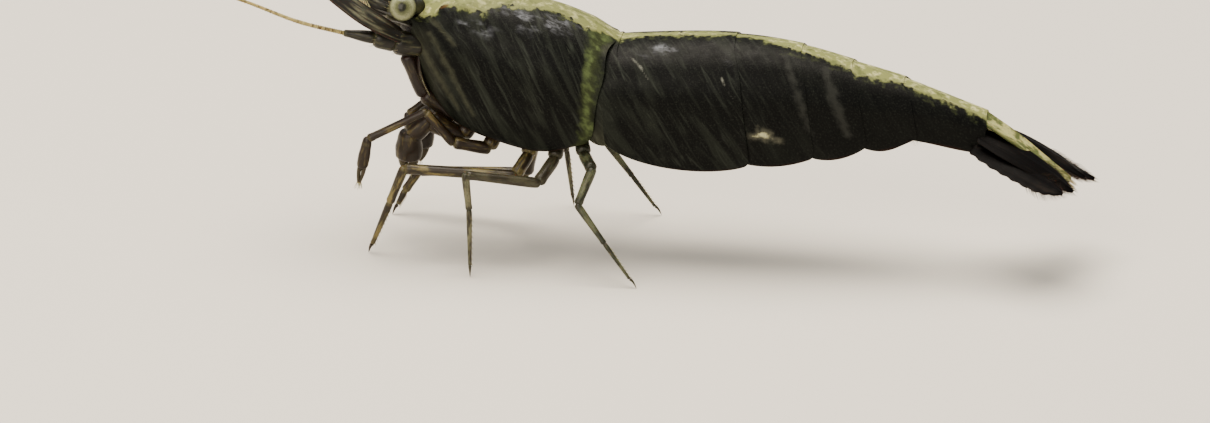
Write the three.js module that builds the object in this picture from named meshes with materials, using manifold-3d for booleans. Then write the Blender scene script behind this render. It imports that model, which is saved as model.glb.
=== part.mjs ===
// Black dwarf shrimp, Neocaridina davidi: an adult female standing on her walking legs.
// Millimetres, +Z up. The head points to -X and the left side faces -Y.
// While it is shaped, x = 0 is at the second abdominal segment and the feet stand on z = 0.
// Each piece is a cylinder or a sphere whose points are moved onto the body's lines. Each is then
// cut back from the pieces listed before it, so that neighbours meet across one thin gap.

import * as THREE from "three";
import { mergeVertices } from "three/addons/utils/BufferGeometryUtils.js";
import Module from "manifold-3d";

const wasm = await Module();
wasm.setup();

// ---- Driving dimensions ----

const GAP = 0.04; // clear space left between neighbouring pieces
const THIN = 0.25; // least half thickness of a leg or blade
const FEELER = 0.27; // half thickness of a feeler
const EYE_RADIUS = 0.47;
const PLATE_FLARE = 0.07; // how far a plate's rear edge stands out over the next plate
const HEM_THICKNESS = 0.2; // width of the turned edge under a plate
const BELLY_WIDTH = 0.45; // width of the flat belly, as a share of the width between the hems
const BELLY_RISE = 0.24; // height of the belly above the hems, as a share of the plate's height
const FLOOR_CUT = new THREE.Vector3(80, 80, 2); // block below z = 0 that flattens the feet

// How finely the pieces are faceted.
const TRUNK_SIDES = 20;
const LIMB_SIDES = 8;
const LIMB_RINGS = 2; // from each joint to the next
const FEELER_SIDES = 6;
const PADDLE_RINGS = 1;
const EYE_FACETS = [12, 8];
const CARAPACE_RINGS = 10;
const SEGMENT_RINGS = [3, 6, 4, 3, 3, 3];
const MERGE_DISTANCE = 1e-4;
const LIMB_TENSION = 0.25; // low, so that a leg bends at its joints
const WALL_FROM = 0.5; // of a cylinder's radius: nearer its axis lie only the middles of its ends

// Places round a plated section, as shares of the way from the back (0) to the belly (1).
const FLANK_AT = 0.4;
const HEM_AT = 0.7;
const BELLY_AT = 0.9;

// ---- The lines of the body, left side, from front to rear ----
// back: the ridge. flank: the widest line. hem: the lower edge of the plates.

const CARAPACE = {
  back: [[-9.7, 0, 9.25], [-8.4, 0, 9.45], [-6.8, 0, 9.36], [-5, 0, 9], [-3.2, 0, 8.3]],
  flank: [[-10, -1, 8.2], [-8.9, -1.5, 7.6], [-7.1, -1.85, 7], [-5.2, -1.95, 6.7], [-3.4, -1.86, 6.5]],
  hem: [[-9.5, -0.75, 6.1], [-8.45, -1.05, 4.95], [-7, -1.3, 4.42], [-5.3, -1.4, 4.14], [-3.55, -1.45, 4.6]],
};

// One point for each joint: the front of segment 1, then the rear of segments 1 to 6.
const ABDOMEN = {
  back: [
    [-3.8, 0, 7.85], [-2.75, 0, 8], [1.25, 0, 8.22], [3.55, 0, 7.93],
    [5.3, 0, 7.45], [7.1, 0, 6.93], [10, 0, 5.98],
  ],
  flank: [
    [-4.1, -1.6, 6.3], [-3.2, -1.82, 6.3], [1.5, -1.82, 6.15], [3.8, -1.6, 6.15],
    [5.6, -1.32, 6.05], [7.3, -1.02, 5.95], [9.95, -0.72, 5.35],
  ],
  hem: [
    [-4, -1.3, 4.9], [-3.1, -1.5, 4.45], [1.75, -1.5, 4.05], [4.05, -1.35, 4.32],
    [5.85, -1.1, 4.68], [7.5, -0.9, 5], [9.85, -0.6, 4.5],
  ],
};
const SEGMENTS = 6;
const PLEURON_LOBES = [0.1, 0.36, 0.12, 0.18, 0.24, 0.05]; // drop of each side flap below its corners

// ---- Limbs: each joint is [x, y, z, radius] or [x, y, z, half width, half thickness] ----

const ROSTRUM = [
  [-9, 0, 9.33, THIN, 0.3], [-10.3, 0, 9.7, THIN, 0.32],
  [-11.7, 0, 10.2, THIN, 0.29], [-13.2, 0, 10.75, THIN, THIN],
];
const MOUTH = [
  [-9.1, 0, 5.6, 0.5, 0.4], [-9.55, 0, 6.35, 0.72, 0.6],
  [-9.95, 0, 7.3, 0.8, 0.6], [-10.1, 0, 8.1, 0.7, 0.5],
];
const THORAX = [
  [-8.9, 0, 5.35, 0.6, 0.4], [-7.2, 0, 4.8, 0.9, 0.42],
  [-5.4, 0, 4.6, 1.05, 0.42], [-3.95, 0, 4.95, 0.9, 0.35],
];
const TELSON = [
  [9.8, 0, 5.7, 0.6, 0.32], [11, 0, 4.92, 0.54, 0.3],
  [12, 0, 4.08, 0.42, THIN], [12.9, 0, 3.33, 0.3, THIN],
];

// A limb and its mirror image, the left one first. Left is the -Y side.
const matched = (left) => [left, left.map(([x, y, ...rest]) => [x, -y, ...rest])];

const EYES = matched([[-10.19, -1.45, 9.2]]);
const EYESTALKS = matched([[-9.6, -0.4, 8.85, 0.26], [-10.19, -1.45, 9.2, 0.34]]);
const HEAD_LIMBS = {
  antennule: matched([[-10, -0.5, 8.4, 0.36], [-11, -0.55, 8.75, 0.34], [-12.6, -0.62, 9.6, 0.3]]),
  antenna_base: matched([
    [-9.8, -0.9, 7.6, 0.42], [-10.7, -1.15, 7.82, 0.42],
    [-11.4, -1.35, 8.02, 0.3], [-12.3, -1.45, 8.15, THIN],
  ]),
};
const MAXILLIPED = {
  maxilliped: matched([[-8.6, -0.6, 4.95, 0.27], [-9.62, -0.84, 5.85, 0.29], [-10.2, -0.88, 7.3, 0.26]]),
};

// The feelers and the legs hold a different bend on each side: the left one, then the right one.
const FEELERS = {
  antennule_flagellum_outer: [
    [[-12.55, -0.85, 9.75, FEELER], [-14.3, -1.35, 11.2, FEELER], [-16.1, -2.3, 12.9, FEELER]],
    [[-12.55, 0.85, 9.75, FEELER], [-14.3, 1.45, 11.1, FEELER], [-16, 2.6, 12.7, FEELER]],
  ],
  antennule_flagellum_inner: [
    [[-12.6, -0.35, 9.3, FEELER], [-15, -0.6, 10.35, FEELER], [-18.3, -1.5, 11.2, FEELER]],
    [[-12.6, 0.35, 9.3, FEELER], [-15, 0.6, 10.35, FEELER], [-18.1, 1.7, 11.4, FEELER]],
  ],
  antenna_flagellum_near: [
    [
      [-12.35, -1.45, 8.16, FEELER], [-13.8, -1.8, 8.62, FEELER],
      [-15.7, -2.3, 9.5, FEELER], [-19.6, -3.9, 11.2, FEELER],
    ],
    [
      [-12.35, 1.45, 8.16, FEELER], [-13.7, 1.95, 8.9, FEELER],
      [-15.4, 2.9, 10.2, FEELER], [-18.7, 5.4, 12.4, FEELER],
    ],
  ],
  antenna_flagellum_far: [
    [[-19.65, -3.92, 11.22, FEELER], [-23.2, -6.2, 12.3, FEELER], [-26.6, -9.6, 12.3, FEELER]],
    [[-18.75, 5.44, 12.43, FEELER], [-21.6, 8.6, 13.9, FEELER], [-23.8, 12.4, 14.2, FEELER]],
  ],
};
const LEGS = {
  leg_1: [
    [
      [-7.9, -0.5, 4.8, 0.28], [-8.3, -0.85, 4.3, 0.3], [-9.4, -1, 4.95, 0.34],
      [-10.08, -0.98, 4.3, 0.44], [-10.18, -0.85, 2.9, 0.32],
    ],
    [
      [-7.9, 0.5, 4.8, 0.28], [-8.3, 0.8, 4.3, 0.3], [-9.25, 0.9, 4.7, 0.34],
      [-9.93, 0.8, 4.12, 0.44], [-10.08, 0.6, 2.75, 0.32],
    ],
  ],
  leg_2: [
    [
      [-6.9, -0.5, 4.7, 0.27], [-7.3, -1.1, 4, 0.27], [-8.5, -1.35, 4.25, THIN],
      [-9.4, -1.6, 5.45, THIN], [-11.4, -1.95, 4.45, 0.26], [-11.75, -1.85, 2.75, THIN],
    ],
    [
      [-6.9, 0.5, 4.7, 0.27], [-7.3, 1.1, 4, 0.27], [-8.6, 1.35, 4.1, THIN],
      [-9.6, 1.55, 4.9, THIN], [-10.55, 1.5, 4.1, 0.26], [-10.35, 1.3, 2.75, THIN],
    ],
  ],
  leg_3: [
    [
      [-5.75, -0.5, 4.5, 0.3], [-5.9, -1.1, 3.8, 0.3], [-6.25, -1.8, 3.3, 0.28],
      [-10.1, -2.15, 3.5, 0.26], [-10.65, -1.95, 2.1, THIN], [-11.55, -1.5, -0.2, THIN],
    ],
    [
      [-5.75, 0.5, 4.5, 0.3], [-6, 1.2, 3.6, 0.3], [-6.4, 1.9, 1.95, 0.28],
      [-10.35, 2.4, 1.62, 0.26], [-10.85, 2.3, 0.85, THIN], [-11.3, 2.1, -0.2, THIN],
    ],
  ],
  leg_4: [
    [
      [-4.85, -0.5, 4.45, 0.3], [-4.95, -1.2, 3.75, 0.3], [-5.4, -2.1, 3.2, 0.3],
      [-7.8, -3, 3.72, 0.27], [-7.66, -3.1, 2.45, THIN], [-7.62, -3.25, -0.2, THIN],
    ],
    [
      [-4.85, 0.5, 4.45, 0.3], [-4.95, 1.2, 3.75, 0.3], [-5.2, 2.1, 3.5, 0.28],
      [-5.7, 3.2, 3.7, 0.27], [-5.2, 3.5, 2.2, THIN], [-4.95, 3.85, -0.2, THIN],
    ],
  ],
  leg_5: [
    [
      [-4.15, -0.5, 4.6, 0.3], [-3.9, -1.25, 4, 0.3], [-3.5, -2.1, 3.8, 0.27],
      [-3.9, -2.85, 2.75, 0.26], [-2.9, -3.2, 1.5, THIN], [-1.65, -3.5, -0.2, THIN],
    ],
    [
      [-4.15, 0.5, 4.6, 0.3], [-3.9, 1.25, 4, 0.3], [-3.5, 2.2, 3.8, 0.27],
      [-3.7, 3, 2.8, 0.26], [-2.8, 3.2, 1.5, THIN], [-1.7, 3.4, -0.2, THIN],
    ],
  ],
};

const SCALES = {
  antennal_scale: matched([
    [-10.5, -1.45, 8.04, 0.38, THIN], [-11.6, -1.6, 8.82, 0.45, THIN],
    [-12.5, -1.7, 9.55, 0.42, THIN], [-13.3, -1.75, 10.25, 0.26, THIN],
  ]),
};
const UROPODS = {
  uropod_inner: [
    [
      [9.9, -0.45, 5.2, 0.42, 0.26], [11, -0.7, 4.7, 0.52, THIN],
      [12.2, -0.9, 4.02, 0.48, THIN], [13.1, -0.98, 3.42, 0.28, THIN],
    ],
    [
      [9.9, 0.45, 5.2, 0.42, 0.26], [11.1, 0.8, 4.6, 0.5, THIN],
      [12.4, 1.05, 3.8, 0.48, THIN], [13.35, 1.15, 3.1, 0.28, THIN],
    ],
  ],
  uropod_outer: [
    [
      [9.75, -0.55, 4.76, 0.42, 0.26], [10.8, -1.18, 4.36, 0.52, THIN],
      [11.9, -1.62, 3.96, 0.5, THIN], [12.8, -1.8, 3.66, 0.3, THIN],
    ],
    [
      [9.75, 0.55, 4.78, 0.42, 0.26], [11, 1.25, 4.05, 0.5, THIN],
      [12.5, 1.65, 3.35, 0.5, THIN], [13.65, 1.75, 2.85, 0.3, THIN],
    ],
  ],
};

// How far the outer edge of the left and right blade hangs below its inner edge, per unit of width.
const SCALE_DROOPS = [0.35, 0.35];
const UROPOD_DROOPS = [0.35, -0.05];

const PLEOPOD_LENGTHS = [1.6, 2.1, 1.9, 1.6, 1.25];
const PLEOPOD_ANGLE = THREE.MathUtils.degToRad(20); // how far they hang below level, swept to the rear
const PLEOPOD_HALF_WIDTHS = [0.3, 0.42, 0.27];
const PLEOPOD_SPREAD = 0.42; // where a pleopod hangs, as a share of the hem's half width

const ACROSS = new THREE.Vector3(0, 1, 0);
const UPRIGHT = new THREE.Vector3(0, 0, 1);
const SIDES = [["left", -1], ["right", 1]];
const COLOURS = {
  shell: 0x1d1e1c,
  underside: 0x5a5c3c,
  stripe: 0xb7bd7a,
  eye: 0x9aa07c,
  limb: 0x4a4426,
  feeler: 0xb9ab6a,
};
const ROUGHNESS = 0.45;

// ---- Shaping ----

const vector = ([x, y, z]) => new THREE.Vector3(x, y, z);
const curveThrough = (points) => new THREE.CatmullRomCurve3(points.map(vector));

function mergedPositions(geometry) {
  geometry.deleteAttribute("normal");
  geometry.deleteAttribute("uv");
  const merged = mergeVertices(geometry, MERGE_DISTANCE);
  merged.computeVertexNormals();
  return merged;
}

// Moves every point of a cylinder to place(share of the length, angle round, whether it is on the wall).
function warpedCylinder(sides, rings, place) {
  const geometry = new THREE.CylinderGeometry(1, 1, 1, sides, rings);
  const points = geometry.getAttribute("position");
  for (let i = 0; i < points.count; i++) {
    const onWall = Math.hypot(points.getX(i), points.getZ(i)) > WALL_FROM;
    const angle = Math.atan2(points.getX(i), points.getZ(i));
    const moved = place(0.5 - points.getY(i), angle, onWall);
    points.setXYZ(i, moved.x, moved.y, moved.z);
  }
  return mergedPositions(geometry);
}

// The three body lines as curves that share one parameter.
function bodyLines({ back, flank, hem }) {
  return { back: curveThrough(back), flank: curveThrough(flank), hem: curveThrough(hem) };
}

// A quarter turn from one point (turn 0) to another (a right angle), level at the first
// and upright at the second.
function quarterTurn(from, to, turn) {
  return new THREE.Vector3(
    to.x + (from.x - to.x) * Math.cos(turn),
    from.y + (to.y - from.y) * Math.sin(turn),
    to.z + (from.z - to.z) * Math.cos(turn),
  );
}

// A point on the left half of the section at u along the body lines.
// share runs from the back (0) to the belly (1), swell stands the plate out, drop lowers its hem.
function sectionPoint(lines, u, share, swell, drop) {
  const back = lines.back.getPoint(u);
  const flank = lines.flank.getPoint(u);
  const hem = lines.hem.getPoint(u);
  back.z += swell;
  flank.y -= swell;
  hem.y -= swell;
  hem.z -= drop;
  if (share <= FLANK_AT) return quarterTurn(back, flank, (share / FLANK_AT) * (Math.PI / 2));
  if (share <= HEM_AT) {
    return quarterTurn(hem, flank, ((HEM_AT - share) / (HEM_AT - FLANK_AT)) * (Math.PI / 2));
  }
  if (share < BELLY_AT) return hem.setY(hem.y + HEM_THICKNESS);
  const halfWidth = share < 1 ? hem.y * BELLY_WIDTH : 0;
  return new THREE.Vector3(hem.x, halfWidth, hem.z + (back.z - hem.z) * BELLY_RISE);
}

// A plated length of trunk between two parameters of the body lines.
function trunk(lines, from, to, rings, lobe) {
  return warpedCylinder(TRUNK_SIDES, rings, (along, angle, onWall) => {
    const u = from + (to - from) * along;
    if (!onWall) return lines.flank.getPoint(u).setY(0);
    const share = Math.round((Math.abs(angle) / Math.PI) * TRUNK_SIDES) / TRUNK_SIDES;
    const point = sectionPoint(lines, u, share, PLATE_FLARE * along, lobe * Math.sin(Math.PI * along));
    if (angle > 0) point.y = -point.y;
    return point;
  });
}

// A tapered limb or blade through its joints. side points across its width.
// Joints with no half thickness are round.
function limb(joints, side, sides = LIMB_SIDES, ringsPerJoint = LIMB_RINGS) {
  const path = new THREE.CatmullRomCurve3(joints.map(vector), false, "catmullrom", LIMB_TENSION);
  const sizes = curveThrough(joints.map((joint) => [joint[3], joint[4] ?? joint[3], 0]));
  const rings = (joints.length - 1) * ringsPerJoint;
  return warpedCylinder(sides, rings, (along, angle, onWall) => {
    const point = path.getPoint(along);
    if (!onWall) return point;
    const tangent = path.getTangent(along);
    const across = side.clone().addScaledVector(tangent, -side.dot(tangent)).normalize();
    const up = new THREE.Vector3().crossVectors(across, tangent);
    const size = sizes.getPoint(along);
    point.addScaledVector(across, -Math.sin(angle) * size.x);
    return point.addScaledVector(up, Math.cos(angle) * size.y);
  });
}

function eyeball([[x, y, z]]) {
  const geometry = new THREE.SphereGeometry(EYE_RADIUS, ...EYE_FACETS);
  geometry.translate(x, y, z);
  return mergedPositions(geometry);
}

// A swimming paddle that hangs under one abdominal segment and sweeps to the rear.
function pleopod(lines, index, sign) {
  const u = (index + 0.5) / SEGMENTS;
  const belly = sectionPoint(lines, u, 1, 0, 0);
  const outward = -sign * lines.hem.getPoint(u).y * PLEOPOD_SPREAD;
  const step = PLEOPOD_LENGTHS[index] / (PLEOPOD_HALF_WIDTHS.length - 1);
  const joints = PLEOPOD_HALF_WIDTHS.map((halfWidth, i) => [
    belly.x + i * step * Math.cos(PLEOPOD_ANGLE),
    outward,
    belly.z - THIN - i * step * Math.sin(PLEOPOD_ANGLE),
    halfWidth,
    THIN,
  ]);
  return limb(joints, ACROSS, LIMB_SIDES, PADDLE_RINGS);
}

// ---- Cutting ----

function solidOf(geometry) {
  return new wasm.Manifold(new wasm.Mesh({
    numProp: 3,
    vertProperties: new Float32Array(geometry.getAttribute("position").array),
    triVerts: new Uint32Array(geometry.index.array),
  }));
}

// The same shape, larger by the gap on every side.
function swollen(geometry) {
  const larger = geometry.clone();
  const points = larger.getAttribute("position");
  const normals = larger.getAttribute("normal");
  for (let i = 0; i < points.array.length; i++) {
    points.array[i] += normals.array[i] * GAP;
  }
  return larger;
}

function largestBody(solid) {
  const bodies = solid.decompose();
  return bodies.reduce((best, body) => (body.volume() > best.volume() ? body : best));
}

function geometryOf(solid) {
  const mesh = solid.getMesh();
  return new THREE.BufferGeometry()
    .setAttribute("position", new THREE.BufferAttribute(new Float32Array(mesh.vertProperties), 3))
    .setIndex(new THREE.BufferAttribute(new Uint32Array(mesh.triVerts), 1));
}

// ---- The pieces: those that keep their whole shape come first ----

const carapaceLines = bodyLines(CARAPACE);
const abdomenLines = bodyLines(ABDOMEN);
const pieces = [];

function add(name, region, colour, geometry) {
  pieces.push({ name, region, colour, geometry });
}

function addPairs(table, region, colour, sides) {
  for (const [name, joints] of Object.entries(table)) {
    SIDES.forEach(([side], i) => {
      add(`${name}_${side}`, region, colour, limb(joints[i], ACROSS, sides));
    });
  }
}

function addBlades(table, region, droops) {
  for (const [name, joints] of Object.entries(table)) {
    SIDES.forEach(([side, sign], i) => {
      const across = new THREE.Vector3(0, 1, -sign * droops[i]);
      add(`${name}_${side}`, region, COLOURS.shell, limb(joints[i], across));
    });
  }
}

add("carapace", "thorax", COLOURS.shell, trunk(carapaceLines, 0, 1, CARAPACE_RINGS, 0));

for (let i = 0; i < SEGMENTS; i++) {
  const from = i / SEGMENTS;
  const to = (i + 1) / SEGMENTS;
  const length = abdomenLines.flank.getPoint(to).x - abdomenLines.flank.getPoint(from).x;
  const start = from + (to - from) * (GAP / length);
  const geometry = trunk(abdomenLines, start, to, SEGMENT_RINGS[i], PLEURON_LOBES[i]);
  add(`abdomen_segment_${i + 1}`, "abdomen", COLOURS.shell, geometry);
}

SIDES.forEach(([side], i) => {
  add(`eye_${side}`, "head", COLOURS.eye, eyeball(EYES[i]));
  add(`eyestalk_${side}`, "head", COLOURS.underside, limb(EYESTALKS[i], UPRIGHT));
});
add("rostrum", "head", COLOURS.shell, limb(ROSTRUM, ACROSS));
addPairs(HEAD_LIMBS, "head", COLOURS.limb);

addBlades(SCALES, "head", SCALE_DROOPS);
add("telson", "tail_fan", COLOURS.stripe, limb(TELSON, ACROSS));
addBlades(UROPODS, "tail_fan", UROPOD_DROOPS);

add("mouthparts", "head", COLOURS.limb, limb(MOUTH, ACROSS));
add("thorax_underside", "thorax", COLOURS.underside, limb(THORAX, ACROSS));
addPairs(MAXILLIPED, "head", COLOURS.limb);
addPairs(FEELERS, "head", COLOURS.feeler, FEELER_SIDES);
addPairs(LEGS, "thorax", COLOURS.limb);
for (let i = 0; i < PLEOPOD_LENGTHS.length; i++) {
  SIDES.forEach(([side, sign]) => {
    add(`pleopod_${i + 1}_${side}`, "abdomen", COLOURS.underside, pleopod(abdomenLines, i, sign));
  });
}

// ---- The shrimp ----

const floorBlock = new THREE.BoxGeometry(...FLOOR_CUT.toArray());
floorBlock.translate(0, 0, -FLOOR_CUT.z / 2);
const floor = solidOf(mergedPositions(floorBlock));

const shrimp = new THREE.Group();
const regions = new Map();
const cutters = [];

function regionGroup(name) {
  if (!regions.has(name)) {
    const group = new THREE.Group();
    group.name = name;
    shrimp.add(group);
    regions.set(name, group);
  }
  return regions.get(name);
}

for (const { name, region, colour, geometry } of pieces) {
  geometry.computeBoundingBox();
  const reach = geometry.boundingBox.clone().expandByScalar(GAP);
  let solid = solidOf(geometry).subtract(floor);
  for (const cutter of cutters) {
    if (cutter.reach.intersectsBox(reach)) solid = solid.subtract(cutter.solid);
  }
  cutters.push({ reach, solid: solidOf(swollen(geometry)) });

  const cut = geometryOf(largestBody(solid));
  cut.computeBoundingBox();
  const middle = cut.boundingBox.getCenter(new THREE.Vector3());
  cut.translate(-middle.x, -middle.y, -middle.z);
  const material = new THREE.MeshStandardMaterial({ color: colour, roughness: ROUGHNESS, metalness: 0 });
  const mesh = new THREE.Mesh(cut, material);
  mesh.name = name;
  mesh.position.copy(middle);
  regionGroup(region).add(mesh);
}

// The origin is on the floor, under the middle of the whole model.
const whole = new THREE.Box3().setFromObject(shrimp);
const centre = whole.getCenter(new THREE.Vector3());
shrimp.position.set(-centre.x, -centre.y, -whole.min.z);

export default shrimp;
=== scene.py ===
# %% [markdown]
# # A black dwarf shrimp
# This lesson dresses a still, life-size model of a dwarf aquarium shrimp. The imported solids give
# every place and size. Each step below models one part of the animal, or one finish, and says how
# the real thing is made, how it could be modelled, and why it is done this way here.

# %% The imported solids
import math
import random
from functools import lru_cache

import bpy
from mathutils import Matrix, Vector


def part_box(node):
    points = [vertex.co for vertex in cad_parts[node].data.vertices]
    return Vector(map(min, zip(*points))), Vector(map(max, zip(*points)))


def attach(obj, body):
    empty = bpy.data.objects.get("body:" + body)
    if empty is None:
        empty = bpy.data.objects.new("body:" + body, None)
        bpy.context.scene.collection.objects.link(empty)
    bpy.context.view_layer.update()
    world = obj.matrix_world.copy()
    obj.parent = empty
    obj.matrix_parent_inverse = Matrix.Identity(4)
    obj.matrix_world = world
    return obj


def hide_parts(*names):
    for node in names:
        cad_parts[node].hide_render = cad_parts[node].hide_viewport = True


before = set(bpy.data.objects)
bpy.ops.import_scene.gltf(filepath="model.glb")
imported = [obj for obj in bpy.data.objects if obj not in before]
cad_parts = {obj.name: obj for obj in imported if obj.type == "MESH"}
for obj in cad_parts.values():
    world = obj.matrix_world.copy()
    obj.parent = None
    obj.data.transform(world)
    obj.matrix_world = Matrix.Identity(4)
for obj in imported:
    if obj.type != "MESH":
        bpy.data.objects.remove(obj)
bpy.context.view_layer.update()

# %% [markdown]
# ## Units and places
# The animal is designed in millimetres. Its head points to -X, its left side faces -Y, x = 0 is at
# the second segment of the abdomen, and the feet stand on z = 0. Blender works in metres, in the
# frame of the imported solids. The left eye is known in both, so it gives the step between them.

# %% From the design to the frame
MM = 0.001
EYE = Vector((-10.19, -1.45, 9.2))  # centre of the left eye, in the design
eye_low, eye_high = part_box("eye_left")
EYE_RADIUS = (eye_high - eye_low).z / 2 / MM
SHIFT = (eye_low + eye_high) / 2 - EYE * MM


def at(point):
    """A point of the design, in millimetres, as a place in the frame, in metres."""
    return Vector(point) * MM + SHIFT


print("shift in mm:", [round(c / MM, 3) for c in SHIFT], "eye radius:", round(EYE_RADIUS, 3))

# %% [markdown]
# ## The camera
# A close-up of a small animal is taken with a long lens, so that its near legs don't look swollen.
# The camera stands to the animal's left, a little ahead of it, and looks down, so close that the top
# of the head and the feelers leave the view. Its place is worked out from two angles and from the
# width that it takes in, which is easier to read and to change than a position and a rotation.

# %% The camera
CAMERA_AIM = (-3.13, -1.5, 2.02)  # in the design: below the rear of the carapace
CAMERA_AZIMUTH = math.radians(8)
CAMERA_ELEVATION = math.radians(22)
VIEW_WIDTH = 42.1  # mm, at the distance of the body
LENS = 200
SENSOR = 36
NEAREST, FARTHEST = 0.1, 20  # limits of what the camera sees, in times its own distance

to_camera = Vector((
    math.sin(CAMERA_AZIMUTH) * math.cos(CAMERA_ELEVATION),
    -math.cos(CAMERA_AZIMUTH) * math.cos(CAMERA_ELEVATION),
    math.sin(CAMERA_ELEVATION),
))
camera_distance = VIEW_WIDTH * LENS / SENSOR * MM

bpy.ops.object.select_all(action="DESELECT")
bpy.ops.object.camera_add(location=at(CAMERA_AIM) + to_camera * camera_distance)
camera = bpy.context.object
camera.name = "camera"
camera.rotation_euler = (-to_camera).to_track_quat("-Z", "Y").to_euler()
camera.data.lens = LENS
camera.data.sensor_width = SENSOR
camera.data.clip_start = camera_distance * NEAREST
camera.data.clip_end = camera_distance * FARTHEST
bpy.context.scene.camera = camera
print("camera distance in mm:", round(camera_distance / MM, 1))

# %% [markdown]
# ## Tools: choosing, marking and welding
# Operators act on all that is selected, so each step first chooses its own piece. Two things are
# stored on a mesh for its finish: marks, which are numbers on its points, such as how many
# millimetres it is to an edge, and a map named lie, in millimetres, that runs along and round the
# piece. A pattern that reads them follows the surface as the real pigment does.

# %% Choosing, marking and welding
WELD_DISTANCE = 1e-6
SMOOTH_ANGLE = math.radians(50)


def choose(*pieces):
    """Selects these pieces and nothing else. The last one is active."""
    bpy.ops.object.select_all(action="DESELECT")
    for piece in pieces:
        piece.select_set(True)
        bpy.context.view_layer.objects.active = piece


def edit(piece, *steps):
    """Runs mesh operators on the whole of a piece: each step is an operator and its settings."""
    choose(piece)
    bpy.ops.object.mode_set(mode="EDIT")
    bpy.ops.mesh.select_all(action="SELECT")
    for operator, settings in steps:
        operator(**settings)
    bpy.ops.object.mode_set(mode="OBJECT")


def mark(piece, name, values):
    """Stores one number on each point of a piece."""
    layer = piece.data.attributes.new(name, "FLOAT", "POINT")
    layer.data.foreach_set("value", values)


def lay(piece, name, places):
    """Gives a piece a map with one place for each point."""
    layer = piece.data.uv_layers.get(name) or piece.data.uv_layers.new(name=name)
    for loop, corner in zip(piece.data.loops, layer.uv):
        corner.vector = places[loop.vertex_index]


def weld(piece):
    """Closes seams and tips, and turns all faces outward."""
    edit(
        piece,
        (bpy.ops.mesh.remove_doubles, {"threshold": WELD_DISTANCE}),
        (bpy.ops.mesh.normals_make_consistent, {"inside": False}),
    )


def smooth(piece):
    choose(piece)
    bpy.ops.object.shade_smooth_by_angle(angle=SMOOTH_ANGLE)


def join(name, pieces):
    """Makes one piece of several."""
    choose(*pieces)
    bpy.ops.object.join()
    joined = bpy.context.object
    joined.name = name
    return joined


def apply_modifier(piece, kind, **settings):
    choose(piece)
    modifier = piece.modifiers.new(kind.lower(), kind)
    for key, value in settings.items():
        setattr(modifier, key, value)
    bpy.ops.object.modifier_apply(modifier=modifier.name)


# %% [markdown]
# ## Tools: smooth lines and profiles
# A body line passes through a few chosen points. The centripetal Catmull-Rom curve is used because
# it doesn't overshoot where the points are unevenly spaced. A profile is the same idea for a single
# number, such as a width that changes along the body. A dome rounds the end of a tube as a quarter
# of an ellipse does, so that no limb ends in a flat cut.

# %% Lines and profiles
TINY = 1e-6


def spline(points, t):
    """The place at share t along a smooth line through the points."""
    last = len(points) - 1
    i = max(0, min(int(t * last), last - 1))
    w = t * last - i
    p = [Vector(q[:3]) for q in points]
    p = [2 * p[0] - p[1], *p, 2 * p[-1] - p[-2]]
    p0, p1, p2, p3 = p[i:i + 4]
    d0, d1, d2 = (max(TINY, math.sqrt((b - a).length)) for a, b in ((p0, p1), (p1, p2), (p2, p3)))
    leave = ((p1 - p0) / d0 - (p2 - p0) / (d0 + d1) + (p2 - p1) / d1) * d1
    reach = ((p2 - p1) / d1 - (p3 - p1) / (d1 + d2) + (p3 - p2) / d2) * d1
    bend = 3 * (p2 - p1) - 2 * leave - reach
    turn = 2 * (p1 - p2) + leave + reach
    return p1 + leave * w + bend * w ** 2 + turn * w ** 3


def ease(t):
    """0 below 0, 1 above 1, and a smooth step between."""
    t = max(0.0, min(1.0, t))
    return t * t * (3 - 2 * t)


def profile(points, x):
    """The value at x of a smooth profile given as (x, value) pairs."""
    if x <= points[0][0]:
        return points[0][1]
    for (x0, v0), (x1, v1) in zip(points, points[1:]):
        if x <= x1:
            return v0 + (v1 - v0) * ease((x - x0) / (x1 - x0))
    return points[-1][1]


def bump(x, centre, width):
    """1 at the centre, falling to 0 at about twice the width away."""
    return math.exp(-((x - centre) / width) ** 2)


def dome(away, reach, power=2):
    """The rounded end of a tube: 0 at the very end, and 1 from this reach inward."""
    return math.sqrt(max(0.0, 1 - max(0.0, 1 - away / reach) ** power))


def length_of(path, steps=24):
    """The length of a path, in mm."""
    return sum((path((i + 1) / steps) - path(i / steps)).length for i in range(steps))


# %% [markdown]
# ## Tools: a sheet and a tube
# Shell, limbs and blades have no flat faces. Each starts as a flat grid, like paper, whose points
# are moved onto the lines of the body. A shell plate stays open, and a tube is rolled up and
# welded. Subdividing a box by hand would also work, but its rows wouldn't follow the animal.

# %% Sheets and tubes
ACROSS = Vector((0, 1, 0))
TUBE_SIDES = 12
TUBE_RINGS = 16
TIP_CROWDING = 0.85  # how strongly a tube's rings crowd towards its two ends
TANGENT_STEP = 1e-3
GIRTH_CHECKS = 8  # how often a tube's width is measured along it


def sheet(name, across, along, place):
    """Adds a flat grid and moves each of its points to place(share across, share along)."""
    bpy.ops.object.select_all(action="DESELECT")
    bpy.ops.mesh.primitive_grid_add(x_subdivisions=across, y_subdivisions=along, size=1)
    made = bpy.context.object
    made.name = name
    shares = [(vertex.co.x + 0.5, vertex.co.y + 0.5) for vertex in made.data.vertices]
    for vertex, (s, t) in zip(made.data.vertices, shares):
        vertex.co = at(place(s, t))
    return made, shares


def crowd(t):
    """Moves evenly spaced shares towards both ends."""
    return t - TIP_CROWDING * math.sin(2 * math.pi * t) / (2 * math.pi)


def stance(path, t, side):
    """The centre of a path at share t, and its sideways and upward directions."""
    ahead = (path(min(t + TANGENT_STEP, 1)) - path(max(t - TANGENT_STEP, 0))).normalized()
    across = (side - ahead * side.dot(ahead)).normalized()
    return path(t), across, across.cross(ahead)


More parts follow.
